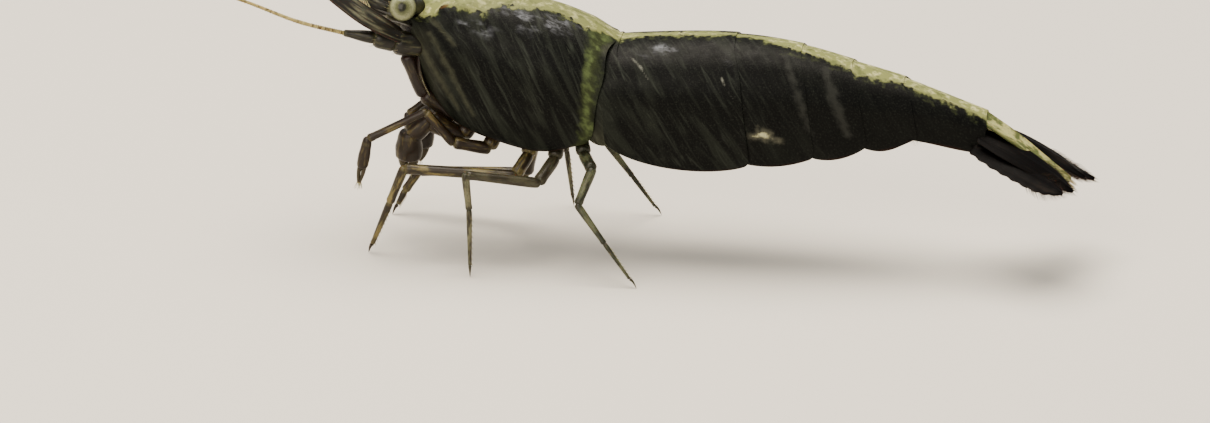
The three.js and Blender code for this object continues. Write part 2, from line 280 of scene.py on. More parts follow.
def tube(name, path, size, sides=TUBE_SIDES, rings=TUBE_RINGS, side=ACROSS, relief=None, marks=None):
    """A closed tube round a path. size(t) gives its half width and half height, relief(s, t) swells
    it, and marks are the numbers to store on its points, each a value or a function of s and t."""
    @lru_cache(maxsize=None)
    def ring(t):
        return (*stance(path, t, side), *size(t))

    def place(s, t):
        t = crowd(t)
        centre, across, up, width, height = ring(t)
        turn = 2 * math.pi * s
        swell = relief(s, t) if relief else 1
        return centre + (across * width * math.cos(turn) + up * height * math.sin(turn)) * swell

    made, shares = sheet(name, sides, rings, place)
    shares = [(s, crowd(t)) for s, t in shares]
    long = length_of(path)
    girth = 2 * math.pi * max(max(size(i / GIRTH_CHECKS)) for i in range(GIRTH_CHECKS + 1))
    lay(made, "lie", [(t * long, s * girth) for s, t in shares])
    for key, value in (marks or {}).items():
        mark(made, key, [value(s, t) if callable(value) else value for s, t in shares])
    weld(made)
    return made


def share_along(s, t):
    """The mark that says how far along its piece a point is."""
    return t


# %% [markdown]
# ## The lines of the body
# The trunk hangs on three lines on each side: the ridge of the back, the widest line of the flank,
# and the lower edge of the shell. Between them its section is two quarter turns. The lines repeat
# those of the solids, so that the thin shell lies exactly where the solid does.

# %% Body lines and sections
BODY = {
    "thorax": (
        [(-9.7, 0, 9.25), (-8.4, 0, 9.45), (-6.8, 0, 9.36), (-5, 0, 9), (-3.2, 0, 8.3)],
        [(-10, -1, 8.2), (-8.9, -1.5, 7.6), (-7.1, -1.85, 7), (-5.2, -1.95, 6.7), (-3.4, -1.86, 6.5)],
        [(-9.5, -0.75, 6.1), (-8.45, -1.05, 4.95), (-7, -1.3, 4.42), (-5.3, -1.4, 4.14), (-3.55, -1.45, 4.6)],
    ),
    "abdomen": (
        [(-3.8, 0, 7.85), (-2.75, 0, 8), (1.25, 0, 8.22), (3.55, 0, 7.93),
         (5.3, 0, 7.45), (7.1, 0, 6.93), (10, 0, 5.98)],
        [(-4.1, -1.6, 6.3), (-3.2, -1.82, 6.3), (1.5, -1.82, 6.15), (3.8, -1.6, 6.15),
         (5.6, -1.32, 6.05), (7.3, -1.02, 5.95), (9.95, -0.72, 5.35)],
        [(-4, -1.3, 4.9), (-3.1, -1.5, 4.45), (1.75, -1.5, 4.05), (4.05, -1.35, 4.32),
         (5.85, -1.1, 4.68), (7.5, -0.9, 5), (9.85, -0.6, 4.5)],
    ),
}
SEGMENTS = 6
FLANK_AT = 0.4  # share of the way from the ridge to the middle of the belly
HEM_AT = 0.7
BELLY_RISE = 0.24  # height of the belly above the hems, as a share of the shell's height


@lru_cache(maxsize=None)
def lines(region, u):
    """The ridge, flank and hem of the left side at share u along a region."""
    return tuple(spline(points, u) for points in BODY[region])


def section(region, u, share, swell=0.0, drop=0.0):
    """A point of the shell. share is 0 on the ridge and HEM_AT on the lower edge, and negative on
    the right side. swell stands it out, and drop lowers its hem."""
    ridge, flank, hem = (point.copy() for point in lines(region, round(u, 6)))
    ridge.z += swell
    flank.y -= swell
    hem.y -= swell
    hem.z -= drop
    reach = abs(share)
    if reach <= FLANK_AT:
        upper, turn = ridge, reach / FLANK_AT
    else:
        upper, turn = hem, (HEM_AT - reach) / (HEM_AT - FLANK_AT)
    turn *= math.pi / 2
    point = Vector((
        flank.x + (upper.x - flank.x) * math.cos(turn),
        upper.y + (flank.y - upper.y) * math.sin(turn),
        flank.z + (upper.z - flank.z) * math.cos(turn),
    ))
    if share < 0:
        point.y = -point.y
    return point


for region in BODY:
    ridge_length = length_of(lambda t: lines(region, round(t, 6))[0])
    print(f"ridge of the {region} in mm:", round(ridge_length, 1))

# %% [markdown]
# ## Where the pigment lies
# The black pigment leaves a pale stripe along the back, and a green band behind the carapace. Both
# are drawn as distances in millimetres from their edge, negative inside, so that a finish can fray
# the edge with noise. The pale scars, spots and streaks of the left side and the glints on both sides
# are short lines, drawn the same way. Painting them on an image by hand would fix their sharpness.

# %% Marks on the shell
STRIPE_HALF_WIDTHS = [  # at design x
    (-9.8, 1.35), (-9.25, 1.3), (-8.85, 0.95), (-7.6, 1.15), (-6.6, 0.72), (-4.9, 0.5), (-3.8, 0.75),
    (-3.3, 0.4), (-1.8, 0.12), (0.1, 0.2), (1.35, 0.05), (2.1, 0.07), (2.5, 0.28), (3.1, 0.42), (4.3, 0.44),
    (5.7, 0.64), (7.1, 0.44), (8.5, 0.4), (9.8, 0.42),
]
PALE_LINES = [  # from (x, distance from the ridge) to (x, distance), and half width
    ((-2.5, 1.05), (-2.15, 1.4), -0.03),
    ((-2.2, 1.34), (-1.85, 1.72), 0.01),
    ((-1.95, 1.6), (-1.58, 2.12), 0.0),
    ((0.93, 2.05), (1.06, 2.32), 0.02),
    ((1.0, 2.25), (1.35, 2.75), -0.035),
]
FACE_STREAKS = [  # these and the next are given in the same way
    ((-9.3, 1.35), (-8.4, 2.75), 0.05),
    ((-9.75, 2.6), (-8.3, 5.2), 0.05),
    ((-9.3, 2.3), (-8.2, 4.3), 0.02),
    ((-8.9, 3.1), (-7.75, 5.3), 0.03),
]
PALE_BANDS = [
    ((4.4, 0.8), (5.3, 3.2), 0.16),
    ((3.1, 0.9), (4.0, 3.4), 0.09),
]
PALE_SPOTS = [((2.26, 3.84), (2.58, 3.9), 0.11), ((2.0, 3.98), (2.9, 4.02), 0.0)]
BROWN_FLECKS = [((-8.98, 0.98), (-8.72, 0.92), 0.07)]
# painted highlights: short lines on both sides where the wet shell would catch the lamp
PAINTED_GLINTS = [
    ((-8.15, 1.68), (-7.85, 1.7), -0.04),
    ((-7.6, 1.72), (-7.3, 1.92), -0.06),
    ((-6.45, 1.12), (-5.75, 1.2), 0.13),
    ((-5.35, 1.06), (-4.7, 1.0), 0.11),
    ((-1.35, 0.85), (-0.9, 1.05), 0.02),
]
LEFT_MARKS = {"pale_mm": PALE_LINES, "band_mm": PALE_BANDS, "spot_mm": PALE_SPOTS,
              "face_mm": FACE_STREAKS, "fleck_mm": BROWN_FLECKS}
SHEEN = [  # strength of the painted sheen, a painted highlight, at design x; the stripe's tarnish follows it too
    (-9, 0.1), (-8.5, 0.2), (-7.8, 0.8), (-7, 1), (-4.2, 0.9), (-3.2, 0.4), (1, 0.3), (3, 0),
]
CLEARNESS = [(-9, 1), (-3, 0.9), (1, 0.7), (3.5, 0.3), (7, 0.2)]  # how much shows through it
GREEN_CENTRES = [  # mm ahead of the carapace's rear edge, at a share round the shell
    (0.05, 0.42), (0.2, 0.38), (0.29, 0.35), (0.4, 0.27), (0.55, 0.2), (0.7, 0.22),
]
GREEN_HALF_WIDTHS = [(0.05, 0.22), (0.12, 0.18), (0.2, 0.08), (0.45, 0.1), (0.6, 0.1), (0.7, 0.18)]
STRIPE_LEAN = 0.12  # how much wider the stripe is on the right side
FAR_AWAY = 9.0  # mm from every mark
LINE_END, LINE_SPAN = 0.15, 0.7  # the part of a sine wave that a line's width follows


def stripe_edge(point, depth):
    """Distance to the edge of the stripe, at a point this far down from the ridge."""
    lean = STRIPE_LEAN if point.y > 0 else 0
    return depth - profile(STRIPE_HALF_WIDTHS, point.x) - lean


def line_edge(x, depth, streaks):
    """Distance to the nearest of some short lines."""
    nearest = FAR_AWAY
    for (x0, d0), (x1, d1), half_width in streaks:
        run = (x1 - x0) ** 2 + (d1 - d0) ** 2
        along = max(0.0, min(1.0, ((x - x0) * (x1 - x0) + (depth - d0) * (d1 - d0)) / run))
        away = math.hypot(x - x0 - along * (x1 - x0), depth - d0 - along * (d1 - d0))
        taper = math.sin(math.pi * (LINE_END + LINE_SPAN * along))
        nearest = min(nearest, away - half_width * taper)
    return nearest


print("marks on the left side:", {key: len(streaks) for key, streaks in LEFT_MARKS.items()})

# %% [markdown]
# ## A plate of shell
# On the animal each plate is a thin sheet of chitin, bent over the body and open below, and its
# rear edge lies over the next plate like a roof tile. So each is a sheet given a thickness inward
# by a Solidify modifier. Its corners are rounded by letting its front and rear edges draw in near
# the hem. Cutting the plates out of one closed body would leave them without edges of their own.

# %% Plates
SHELL_THICKNESS = 0.07
PLATE_SPACING = 0.075  # between the points of a plate
WRAP = 2 * HEM_AT


def rows_of(shares, across):
    """The indices of a sheet's points, row by row."""
    order = sorted(range(len(shares)), key=lambda i: (round(shares[i][1], 5), shares[i][0]))
    return [order[i:i + across + 1] for i in range(0, len(order), across + 1)]


def share_round(s):
    """The share round the shell, from the left hem to the right one, at a sheet's share across."""
    return (0.5 - s) * WRAP


def plate(name, across, along, place, thin, green=None):
    """A shell plate. place(share, t) gives its points: share from -HEM_AT to HEM_AT, t front to rear.
    thin says where it has little pigment, from 0 to 1, and green how far it is to the green band."""
    made, shares = sheet(name, across, along, lambda s, t: place(share_round(s), t))
    points = [(vertex.co - SHIFT) / MM for vertex in made.data.vertices]
    depth = [0.0] * len(points)
    hem = [0.0] * len(points)
    middle = across // 2
    for row in rows_of(shares, across):
        for side in (row[middle::-1], row[middle:]):
            for inner, outer in zip(side, side[1:]):
                depth[outer] = depth[inner] + (points[outer] - points[inner]).length
            for i in side:
                hem[i] = depth[side[-1]] - depth[i]
    mark(made, "stripe_mm", [stripe_edge(p, d) for p, d in zip(points, depth)])
    # how strong the painted sheen, a painted highlight, is along the body
    mark(made, "sheen", [profile(SHEEN, p.x) for p in points])
    mark(made, "clear", [profile(CLEARNESS, p.x) for p in points])
    for key, streaks in LEFT_MARKS.items():
        mark(made, key, [line_edge(p.x, d, streaks) if p.y < 0 else FAR_AWAY for p, d in zip(points, depth)])
    # the painted glints, a painted highlight, on both sides
    mark(made, "painted_glint_mm", [line_edge(p.x, d, PAINTED_GLINTS) for p, d in zip(points, depth)])
    mark(made, "hem_mm", hem)
    mark(made, "depth_mm", depth)
    mark(made, "green_mm", [green(share_round(s), t) if green else FAR_AWAY for s, t in shares])
    mark(made, "thin", [thin(share_round(s), t) for s, t in shares])
    # the right side lies elsewhere on the map, so that its pattern isn't a mirror image
    lay(made, "lie", [(p.x, d + (FAR_AWAY if p.y > 0 else 0)) for p, d in zip(points, depth)])
    top = min(made.data.polygons, key=lambda face: abs(face.center.y - SHIFT.y))
    if top.normal.z < 0:
        edit(made, (bpy.ops.mesh.flip_normals, {}))
    apply_modifier(made, "SOLIDIFY", thickness=SHELL_THICKNESS * MM, offset=-1, use_even_offset=True)
    smooth(made)
    return made


# %% [markdown]
# ## The carapace
# One plate covers the head and the thorax. Its front edge is cut out for each eye, has a small tooth
# below the eye, the antennal spine, and turns back in a round corner over the mouth. A shallow
# groove crosses each side where the stomach ends and the gill chamber begins, and the gill chamber
# bulges a little. All of that moves the points of the sheet, because bump in a finish wouldn't
# change the outline. Each swelling is a height in mm, its place and its half width.

# %% The carapace
CARAPACE_LENGTH = 6.3
FLARE = 0.045  # how far the rear edge of each plate stands out
ORBIT = (0.32, 0.19, 0.075)  # places and widths are shares round the shell
BROW = (0.12, 0.0, 0.06)
SPINE_LENGTH, SPINE_AT, SPINE_WIDTH = 0.42, 0.315, 0.028
CHEEK_DRAW = 0.16  # how far the lower front corner draws back
REAR_LOBES = [(0.36, 0.0, 0.13), (0.16, 0.3, 0.12)]  # how far the rear edge runs on
REAR_CORNER = 0.2  # how far its lower corner draws in
REAR_TUCK = (0.2, 0.0, 0.2)  # how far it bends down at the ridge, onto the abdomen
GROOVE_DEPTH = 0.05
ORGANS = [  # the gill chamber and the stomach: height, place and width along; then round the shell
    ((0.05, 0.66, 0.24), (0.42, 0.14)),
    ((0.04, 0.28, 0.14), (0.14, 0.12)),
]
HEM_RIM = 0.03  # how far the hem stands out


def swelling(form, x):
    height, centre, width = form
    return height * bump(x, centre, width)


def carapace_front(share):
    """How far behind the body lines' start the front edge lies. The spine reaches ahead of it."""
    reach = abs(share)
    spine = SPINE_LENGTH * max(0.0, 1 - abs(reach - SPINE_AT) / SPINE_WIDTH)
    corner = CHEEK_DRAW * ease((reach - 0.56) / 0.14) ** 1.5
    return swelling(ORBIT, reach) + corner - spine - swelling(BROW, reach)


def carapace_rear(share):
    """How far ahead of the body lines' end the rear edge lies."""
    reach = abs(share)
    lobes = sum(swelling(lobe, reach) for lobe in REAR_LOBES)
    return REAR_CORNER * ease((reach - 0.55) / 0.15) - lobes


def carapace_groove(reach, u):
    """The depth of the groove, which slants down and ahead from the back."""
    line = 0.12 + 0.75 * max(0, 0.42 - u)
    return -GROOVE_DEPTH * bump(reach, line, 0.035) * ease((u - 0.08) / 0.1) * ease((0.5 - u) / 0.15)


def carapace_point(share, t):
    reach = abs(share)
    start = carapace_front(share) / CARAPACE_LENGTH
    end = 1 - carapace_rear(share) / CARAPACE_LENGTH
    u = start + (end - start) * t
    swell = FLARE * t + carapace_groove(reach, u)
    for along, (middle, width) in ORGANS:
        swell += swelling(along, u) * bump(reach, middle, width)
    swell += HEM_RIM * ease((reach - 0.655) / 0.03)
    point = section("thorax", u, share, swell)
    point.z -= swelling(REAR_TUCK, reach) * ease((t - 0.88) / 0.12)
    return point


def carapace_green(share, t):
    """The distance to the green band, which runs down just ahead of the rear edge."""
    reach = abs(share)
    return abs((1 - t) * CARAPACE_LENGTH - profile(GREEN_CENTRES, reach)) - profile(GREEN_HALF_WIDTHS, reach)


def carapace_thin(share, t):
    """The cheek, the front edge and a patch behind the band carry little pigment."""
    reach = abs(share)
    cheek = ease((0.3 - t) / 0.2) * ease((reach - 0.24) / 0.16)
    return max(0.36 * cheek, 0.6 * ease((t - 0.955) / 0.02) * bump(reach, 0.14, 0.06))


carapace = plate("carapace_shell", 168, 92, carapace_point, carapace_thin, carapace_green)
print("carapace:", len(carapace.data.polygons), "faces")

# %% [markdown]
# ## The six plates of the abdomen
# The second plate is the mark of this family of shrimps: its side flap is broad and round and lies
# over the flaps before and behind it. The other five are like tiles, each under the one before. Six
# plates could be shaped one by one, but one function makes them all from a table of what differs:
# how deep the flap hangs and how far it overlaps to the front and to the rear.

# %% The abdomen
# mm: the drop of the side flap, the rounding of its front and rear corners, its reach ahead and
# behind, and how far its front and rear stand out
FLAPS = [
    (0.1, 0.1, 0.2, 0.12, 0.1, -0.01, 0.045),
    (0.36, 0.45, 0.2, 0.04, 0.35, 0.05, 0.08),
    (0.12, 0.2, 0.2, 0.12, 0.16, -0.01, 0.045),
    (0.18, 0.22, 0.26, 0.12, 0.16, -0.01, 0.045),
    (0.24, 0.26, 0.3, 0.12, 0.16, -0.01, 0.045),
    (0.06, 0.3, 0.3, 0.12, 0.05, -0.01, -0.08),
]
CORNER_FROM = 0.54  # share at which a flap's corners begin to round off
BELLY_GAP = 1.6  # mm from hem to hem below, left open
OVERLAP = 0.4  # mm by which a plate is longer than its segment


def segment_point(index, length, share, t):
    drop, front_corner, rear_corner, ahead, behind, front_swell, rear_swell = FLAPS[index]
    reach = abs(share)
    corner = ease((reach - CORNER_FROM) / (HEM_AT - CORNER_FROM)) ** 2
    side = ease((reach - 0.1) / 0.2)
    front = index + (front_corner * corner - ahead) / length
    rear = index + 1 - (rear_corner * corner - behind * side) / length
    u = (front + (rear - front) * t) / SEGMENTS
    at_front = min(0.0, front_swell) + max(0.0, front_swell) * side
    at_rear = min(FLARE, rear_swell) + max(0.0, rear_swell - FLARE) * side
    hang = drop * math.sin(math.pi * t) ** 0.75 * ease((reach - 0.3) / 0.3)
    return section("abdomen", u, share, at_front + (at_rear - at_front) * t, hang)


def segment_thin(index, share, t):
    """The first segment and the lower front of the second carry little pigment."""
    low = ease((abs(share) - 0.44) / 0.2)
    return {0: 0.08 + 0.7 * low, 1: 0.22 * low * ease((0.22 - t) / 0.18)}.get(index, 0.0)


def make_segment(index):
    start, end = index / SEGMENTS, (index + 1) / SEGMENTS
    length = (lines("abdomen", end)[1] - lines("abdomen", start)[1]).length
    around = 2 * (lines("abdomen", end)[0].z - lines("abdomen", end)[2].z + BELLY_GAP)
    across = 2 * round(around / PLATE_SPACING / 2)
    along = round((length + OVERLAP) / PLATE_SPACING)
    return plate(
        f"abdomen_plate_{index + 1}", across, along,
        lambda share, t: segment_point(index, length, share, t),
        lambda share, t: segment_thin(index, share, t),
    )


segments = [make_segment(i) for i in range(SEGMENTS)]
print("abdomen:", [len(piece.data.polygons) for piece in segments], "faces")

# %% [markdown]
# ## The soft underside
# Behind and between the plates the animal is closed by soft skin. One skin runs from the brow, down
# the face between the eyes, along the breast where the legs grow, and under the abdomen to the
# tail, with a fold at each joint. It is a single tube along the belly, mostly hidden by the shell.

# %% The underside skin
SKIN_LINE = [  # centre of the skin's tube, and its half width and half height
    (-9.75, 0, 8.95, 0.4, 0.25), (-9.68, 0, 8.3, 0.8, 0.3), (-9.55, 0, 7.3, 0.85, 0.32),
    (-9.2, 0, 6.1, 0.7, 0.34), (-8.6, 0, 5.35, 0.62, 0.36), (-7.2, 0, 4.95, 0.85, 0.4),
    (-5.4, 0, 4.78, 1.0, 0.42), (-3.95, 0, 5.15, 1.0, 0.42),
]
ABDOMEN_SKIN_STEPS = 8
ABDOMEN_SKIN_WIDTH = 0.8  # as a share of the distance to the hems
ABDOMEN_SKIN_HEIGHT = 0.36
SKIN_RISE = 0.35  # how far its centre lies above the belly
TAIL_SKIN = (10.0, 0, 5.2, 0.52, 0.45)  # it closes the rear of the last plate
FOLDS = 17
FOLD_DEPTH = 0.07


def skin_stations():
    """The skin's stations: those of the thorax, then the belly of the abdomen."""
    stations = list(SKIN_LINE)
    for i in range(1, ABDOMEN_SKIN_STEPS + 1):
        u = (i + 0.5) / (ABDOMEN_SKIN_STEPS + 0.8)
        ridge, _, hem = lines("abdomen", u)
        belly = hem.z + (ridge.z - hem.z) * BELLY_RISE
        stations.append((hem.x, 0, belly + SKIN_RISE, abs(hem.y) * ABDOMEN_SKIN_WIDTH, ABDOMEN_SKIN_HEIGHT))
    return [*stations, TAIL_SKIN]


skin_line = skin_stations()


def skin_size(t):
    width, height, _ = spline([(s[3], s[4], 0) for s in skin_line], t)
    tip = dome(min(t, 1 - t), 0.02)
    return width * tip, height * tip


def skin_fold(s, t):
    return 1 - FOLD_DEPTH * (0.5 + 0.5 * math.cos(2 * math.pi * t * FOLDS)) ** 3


skin = tube("underside_skin", lambda t: spline(skin_line, t), skin_size, 28, 220, relief=skin_fold)
smooth(skin)
print("underside skin:", len(skin.data.polygons), "faces")

# %% [markdown]
# ## Jointed limbs
# An arthropod's limb is a row of stiff tubes, the articles. Each is a little narrower where it
# enters the one before and ends in a low collar. So a limb is made article by article, as tubes with
# round ends, and then joined. One continuous tube would bend like rubber at the knees.

# %% Articles
NECK = 0.16  # how much an article narrows at its near end
COLLAR = 0.12  # how much it swells at its far end
SLIM_FROM = 5  # an article with fewer radii in its length has a lower neck and collar
TUCKED_IN = 0.5  # how far it starts inside the one before, as a share of its radius
NEAR_END, FAR_END = 0.5, 0.6  # the length of its rounded ends, as shares of their radii
JOINT_GLOW = 0.22  # mm from a joint within which the shell is thin and pale


def article(name, start, end, near_radius, far_radius, side=ACROSS,
            sides=TUBE_SIDES, rings=TUBE_RINGS, reach=(0.0, 1.0)):
    """One tube of a limb. reach is how far along the limb it starts and ends."""
    start, end = Vector(start[:3]), Vector(end[:3])
    long = (end - start).length
    slimness = min(1.0, long / (SLIM_FROM * far_radius))

    def size(t):
        radius = near_radius + (far_radius - near_radius) * t
        near, far = t * long, (1 - t) * long
        cap = dome(near, near_radius * NEAR_END) * dome(far, far_radius * FAR_END)
        collar = COLLAR * bump(far, far_radius * 0.9, far_radius * 0.7) - NECK * bump(near, 0, near_radius)
        width = radius * cap * (1 + slimness * collar)
        return width, width

    marks = {
        "joint": lambda s, t: max(bump(t * long, 0, JOINT_GLOW), bump((1 - t) * long, 0, JOINT_GLOW)),
        "reach": lambda s, t: reach[0] + (reach[1] - reach[0]) * t,
    }
    return tube(name, lambda t: start.lerp(end, t), size, sides, rings, side, marks=marks)


def limb(name, joints, radii, **settings):
    """A limb through its joints, from the body outward, with a radius at each joint."""
    count = len(joints) - 1
    articles = []
    for i in range(count):
        start, end = Vector(joints[i]), Vector(joints[i + 1])
        start -= (end - start).normalized() * (TUCKED_IN * radii[i])
        articles.append(article(f"{name}_{i}", start, end, radii[i], radii[i + 1],
                                reach=(i / count, (i + 1) / count), **settings))
    made = join(name, articles)
    smooth(made)
    return made


def mirrored(points, sign):
    """Points given for the left side, or their mirror image for the right."""
    return [(x, y if sign < 0 else -y, *rest) for x, y, *rest in points]


SIDES = [("left", -1), ("right", 1)]

# %% [markdown]
# ## Setae
# Setae are the stiff bristles of a crustacean. There are thousands, and each is a thin cone with a
# slight bend. One is modelled from a cone and cut twice, and its copies are bent and stamped into
# one mesh for each fringe. Particle hair would be quicker, but it isn't kept when the model leaves
# Blender. Each copy gets a tiny patch of the map named OFBake.

# %% One seta and its copies
SETA_SIDES = 5
SETA_CUTS = (0.34, 0.67)
SETA_TIP = 0.12  # its radius, as a share of that of the root
SETA_BEND = 0.12  # how far the tip bends aside, as a share of the length
STRAIGHT = (0, 0, 0)
BAKE_PATCH = 0.003
dice = random.Random(7)


def model_seta():
    """One seta of unit length along Z, with its root at the origin."""
    bpy.ops.object.select_all(action="DESELECT")
    bpy.ops.mesh.primitive_cone_add(vertices=SETA_SIDES, radius1=1, radius2=SETA_TIP, depth=1,
                                    end_fill_type="NGON", location=(0, 0, 0.5))
    bpy.ops.object.transform_apply(location=True)
    seta = bpy.context.object
    for cut in SETA_CUTS:
        edit(seta, (bpy.ops.mesh.bisect, {"plane_co": (0, 0, cut), "plane_no": (0, 0, 1)}))
    shape = [vertex.co.copy() for vertex in seta.data.vertices]
    faces = [tuple(face.vertices) for face in seta.data.polygons]
    bpy.data.objects.remove(seta)
    return shape, faces


seta_shape, seta_faces = model_seta()
print("one seta:", len(seta_shape), "points,", len(seta_faces), "faces")


def bristles(name, roots):
    """Stamps setae into one mesh. Each root is (place, tip, radius, bend direction, place on the map)."""
    points, faces, patches = [], [], []
    for root, tip, radius, bend, (u, v) in roots:
        root, tip, bend = Vector(root), Vector(tip), Vector(bend)
        long = (tip - root).length
        up = (tip - root).normalized()
        side = up.orthogonal().normalized()
        across = up.cross(side)
        first = len(points)
        for x, y, z in seta_shape:
            around = (side * x + across * y) * radius
            points.append(at(root + around + up * z * long + bend * (SETA_BEND * long * z * z)))
            patches.append((u + (x * 0.5) * BAKE_PATCH, v + (z - 0.5) * BAKE_PATCH))
        faces += [tuple(first + i for i in face) for face in seta_faces]
    mesh = bpy.data.meshes.new(name)
    mesh.from_pydata(points, [], faces)
    made = bpy.data.objects.new(name, mesh)
    bpy.context.scene.collection.objects.link(made)
    lay(made, "OFBake", patches)
    smooth(made)
    return made


# %% [markdown]
# ## The walking legs
# The last three pairs of legs carry the animal. Each has a short hip, a long merus that rises to the
# knee, a carpus, a slim propodus with a row of spinules below, and a claw that stands on its tip.
# A skeleton of edges with a Skin modifier would be quicker, but it leaves no collars at the joints.
# The joints repeat those of the solids, and the real, thinner radii are used.

# %% Legs three to five
WALKING = {  # hip, end of the ischium, knee, carpus, start of the propodus, foot; left, then right
    3: (
        [(-5.75, -0.5, 4.5), (-5.9, -1.1, 3.8), (-6.25, -1.8, 3.3), (-10.1, -2.15, 3.5),
         (-10.65, -1.95, 2.1), (-11.5, -1.5, 0)],
        [(-5.75, 0.5, 4.5), (-6, 1.2, 3.6), (-6.4, 1.9, 1.95), (-10.35, 2.4, 1.62),
         (-10.85, 2.3, 0.85), (-11.27, 2.12, 0)],
    ),
    4: (
        [(-4.85, -0.5, 4.45), (-4.95, -1.2, 3.75), (-5.4, -2.1, 3.2), (-7.8, -3, 3.72),
         (-7.66, -3.1, 2.45), (-7.62, -3.24, 0)],
        [(-4.85, 0.5, 4.45), (-4.95, 1.2, 3.75), (-5.2, 2.1, 3.5), (-5.7, 3.2, 3.7),
         (-5.2, 3.5, 2.2), (-5, 3.83, 0)],
    ),
    5: (
        [(-4.15, -0.5, 4.6), (-3.9, -1.25, 4), (-3.5, -2.1, 3.8), (-3.9, -2.85, 2.75),
         (-2.9, -3.2, 1.5), (-1.75, -3.48, 0)],
        [(-4.15, 0.5, 4.6), (-3.9, 1.25, 4), (-3.5, 2.2, 3.8), (-3.7, 3, 2.8),
         (-2.8, 3.2, 1.5), (-1.78, 3.37, 0)],
    ),
}
WALKING_RADII = {
    3: (0.27, 0.25, 0.21, 0.18, 0.14, 0.08, 0.014),
    4: (0.27, 0.24, 0.2, 0.15, 0.11, 0.06, 0.014),
    5: (0.27, 0.24, 0.19, 0.14, 0.09, 0.05, 0.014),
}
CLAW_LENGTH = 0.42
CLAW_CURVE = 0.07
CLAW_POINT = 0.012  # mm, its radius just before the tip
FOOT_CLEARANCE = 0.006  # mm from the tip's middle line to the floor
SPINULES = 9
SPINULE_LENGTH = 0.13
SPINULE_RADIUS = 0.016


def claw(name, start, foot, radius):
    """The pointed last article, curved so that it stands on its tip."""
    start, foot = Vector(start), Vector(foot)

    def path(t):
        return start.lerp(foot, t) + Vector((0, 0, 1)) * (CLAW_CURVE * math.sin(math.pi * t))

    def size(t):
        width = radius * (1 - t) ** 0.8 + CLAW_POINT * ease(t / 0.1) * (1 - t ** 8)
        width *= dome(t, 0.08)
        return width, width * 0.9

    marks = {"joint": lambda s, t: 0.4 * (1 - t), "reach": 1.0}
    return tube(name, path, size, 10, 14, marks=marks)


def walking_leg(number, side, sign):
    joints = [Vector(point) for point in WALKING[number][SIDES.index((side, sign))]]
    radii = WALKING_RADII[number]
    name = f"leg_{number}_{side}_limb"
    foot = joints[-1]
    ankle = foot + (joints[-2] - foot).normalized() * CLAW_LENGTH
    leg = limb(name, [*joints[:-1], ankle], radii[:-1])
    toe = claw(f"{name}_claw", ankle, foot + Vector((0, 0, FOOT_CLEARANCE)), radii[-2])
    leg = join(name, [toe, leg])
    smooth(leg)
    shin = joints[-2]
    ahead = (ankle - shin).normalized()
    behind = (ankle - shin).cross(ACROSS).normalized()
    if behind.x < 0:
        behind = -behind
    roots = []
    for i in range(SPINULES):
        t = (i + 1.5) / (SPINULES + 1)
        place = shin.lerp(ankle, t) + behind * (radii[-3] * (1 - t) + radii[-2] * t) * 0.8
        tip = place + behind * SPINULE_LENGTH * 0.55 + ahead * SPINULE_LENGTH
        roots.append((place, tip, SPINULE_RADIUS, STRAIGHT, (t, 0.5)))
    return leg, roots


legs = {}
leg_spines = {}
for number in WALKING:
    for side, sign in SIDES:
        legs[number, side], leg_spines[number, side] = walking_leg(number, side, sign)
print("walking legs:", len(legs))

# %% [markdown]
# ## The claw legs
# The first two pairs pick up food. They are shorter and end in a small pincer: a palm, sunk like an
# egg in the hollow end of the article before it, and two spoon-shaped fingers, each with a brush of
# setae at its tip. The near one is lifted and bent, and the others are folded under the head.
# Pincer and arm could be one mesh, but the pincer is far finer than the arm.

# %% Legs one and two
PICKING = {  # the last length is the pincer
    1: (
        [(-7.9, -0.5, 4.8), (-8.3, -0.85, 4.3), (-9.4, -1, 4.95), (-10.08, -0.98, 4.3),
         (-10.18, -0.85, 2.9)],
        [(-7.9, 0.5, 4.8), (-8.3, 0.8, 4.3), (-9.25, 0.9, 4.7), (-9.93, 0.8, 4.12),
         (-10.08, 0.6, 2.75)],
    ),
    2: (
        [(-6.9, -0.5, 4.7), (-7.3, -1.1, 4), (-8.5, -1.35, 4.25), (-9.4, -1.6, 5.45),
         (-11.4, -1.95, 4.45), (-11.75, -1.85, 2.75)],
        [(-6.9, 0.5, 4.7), (-7.3, 1.1, 4), (-8.6, 1.35, 4.1), (-9.6, 1.55, 4.9),
         (-10.55, 1.5, 4.1), (-10.35, 1.3, 2.75)],
    ),
}
PICKING_RADII = {1: (0.3, 0.32, 0.36, 0.4), 2: (0.26, 0.25, 0.19, 0.14, 0.14)}
PALM_RADII = {1: 0.44, 2: 0.19}
PALM_WIDTHS = [(0, 0.7), (0.3, 0.86), (0.6, 1), (0.8, 0.97), (1, 0.82)]  # along it, as shares of its radius
PALM_SUNK = 0.5  # how far it starts in the hollow of the article before, as a share of its radius
PALM_DEPTH = 1.12  # how much wider a palm is from the side than from the front
PALM_SHARE = 0.66  # of the pincer's length
# the fingers, as shares of the palm's radius: their own radius, how far they start inside the palm,
# how far apart they are at the root and at the tip, and how far they bow outward
FINGER_RADIUS, FINGER_SUNK, FINGER_ROOT, FINGER_TIP, FINGER_BOW = 0.58, 0.3, 0.42, 0.07, 0.12
BRUSH_SETAE = 16
BRUSH_LENGTH = 0.3
BRUSH_RADIUS = 0.009


def palm(name, start, end, radius):
    """The palm of a pincer: an egg, widest past its middle."""
    def size(t):
        width = radius * profile(PALM_WIDTHS, t) * (dome(t, 0.1) * dome(1 - t, 0.12))
        return width, width * PALM_DEPTH

    marks = {"joint": lambda s, t: 0.8 * bump(t, 0.2, 0.1), "reach": 0.9}
    return tube(name, lambda t: start.lerp(end, t), size, 16, 20, marks=marks)


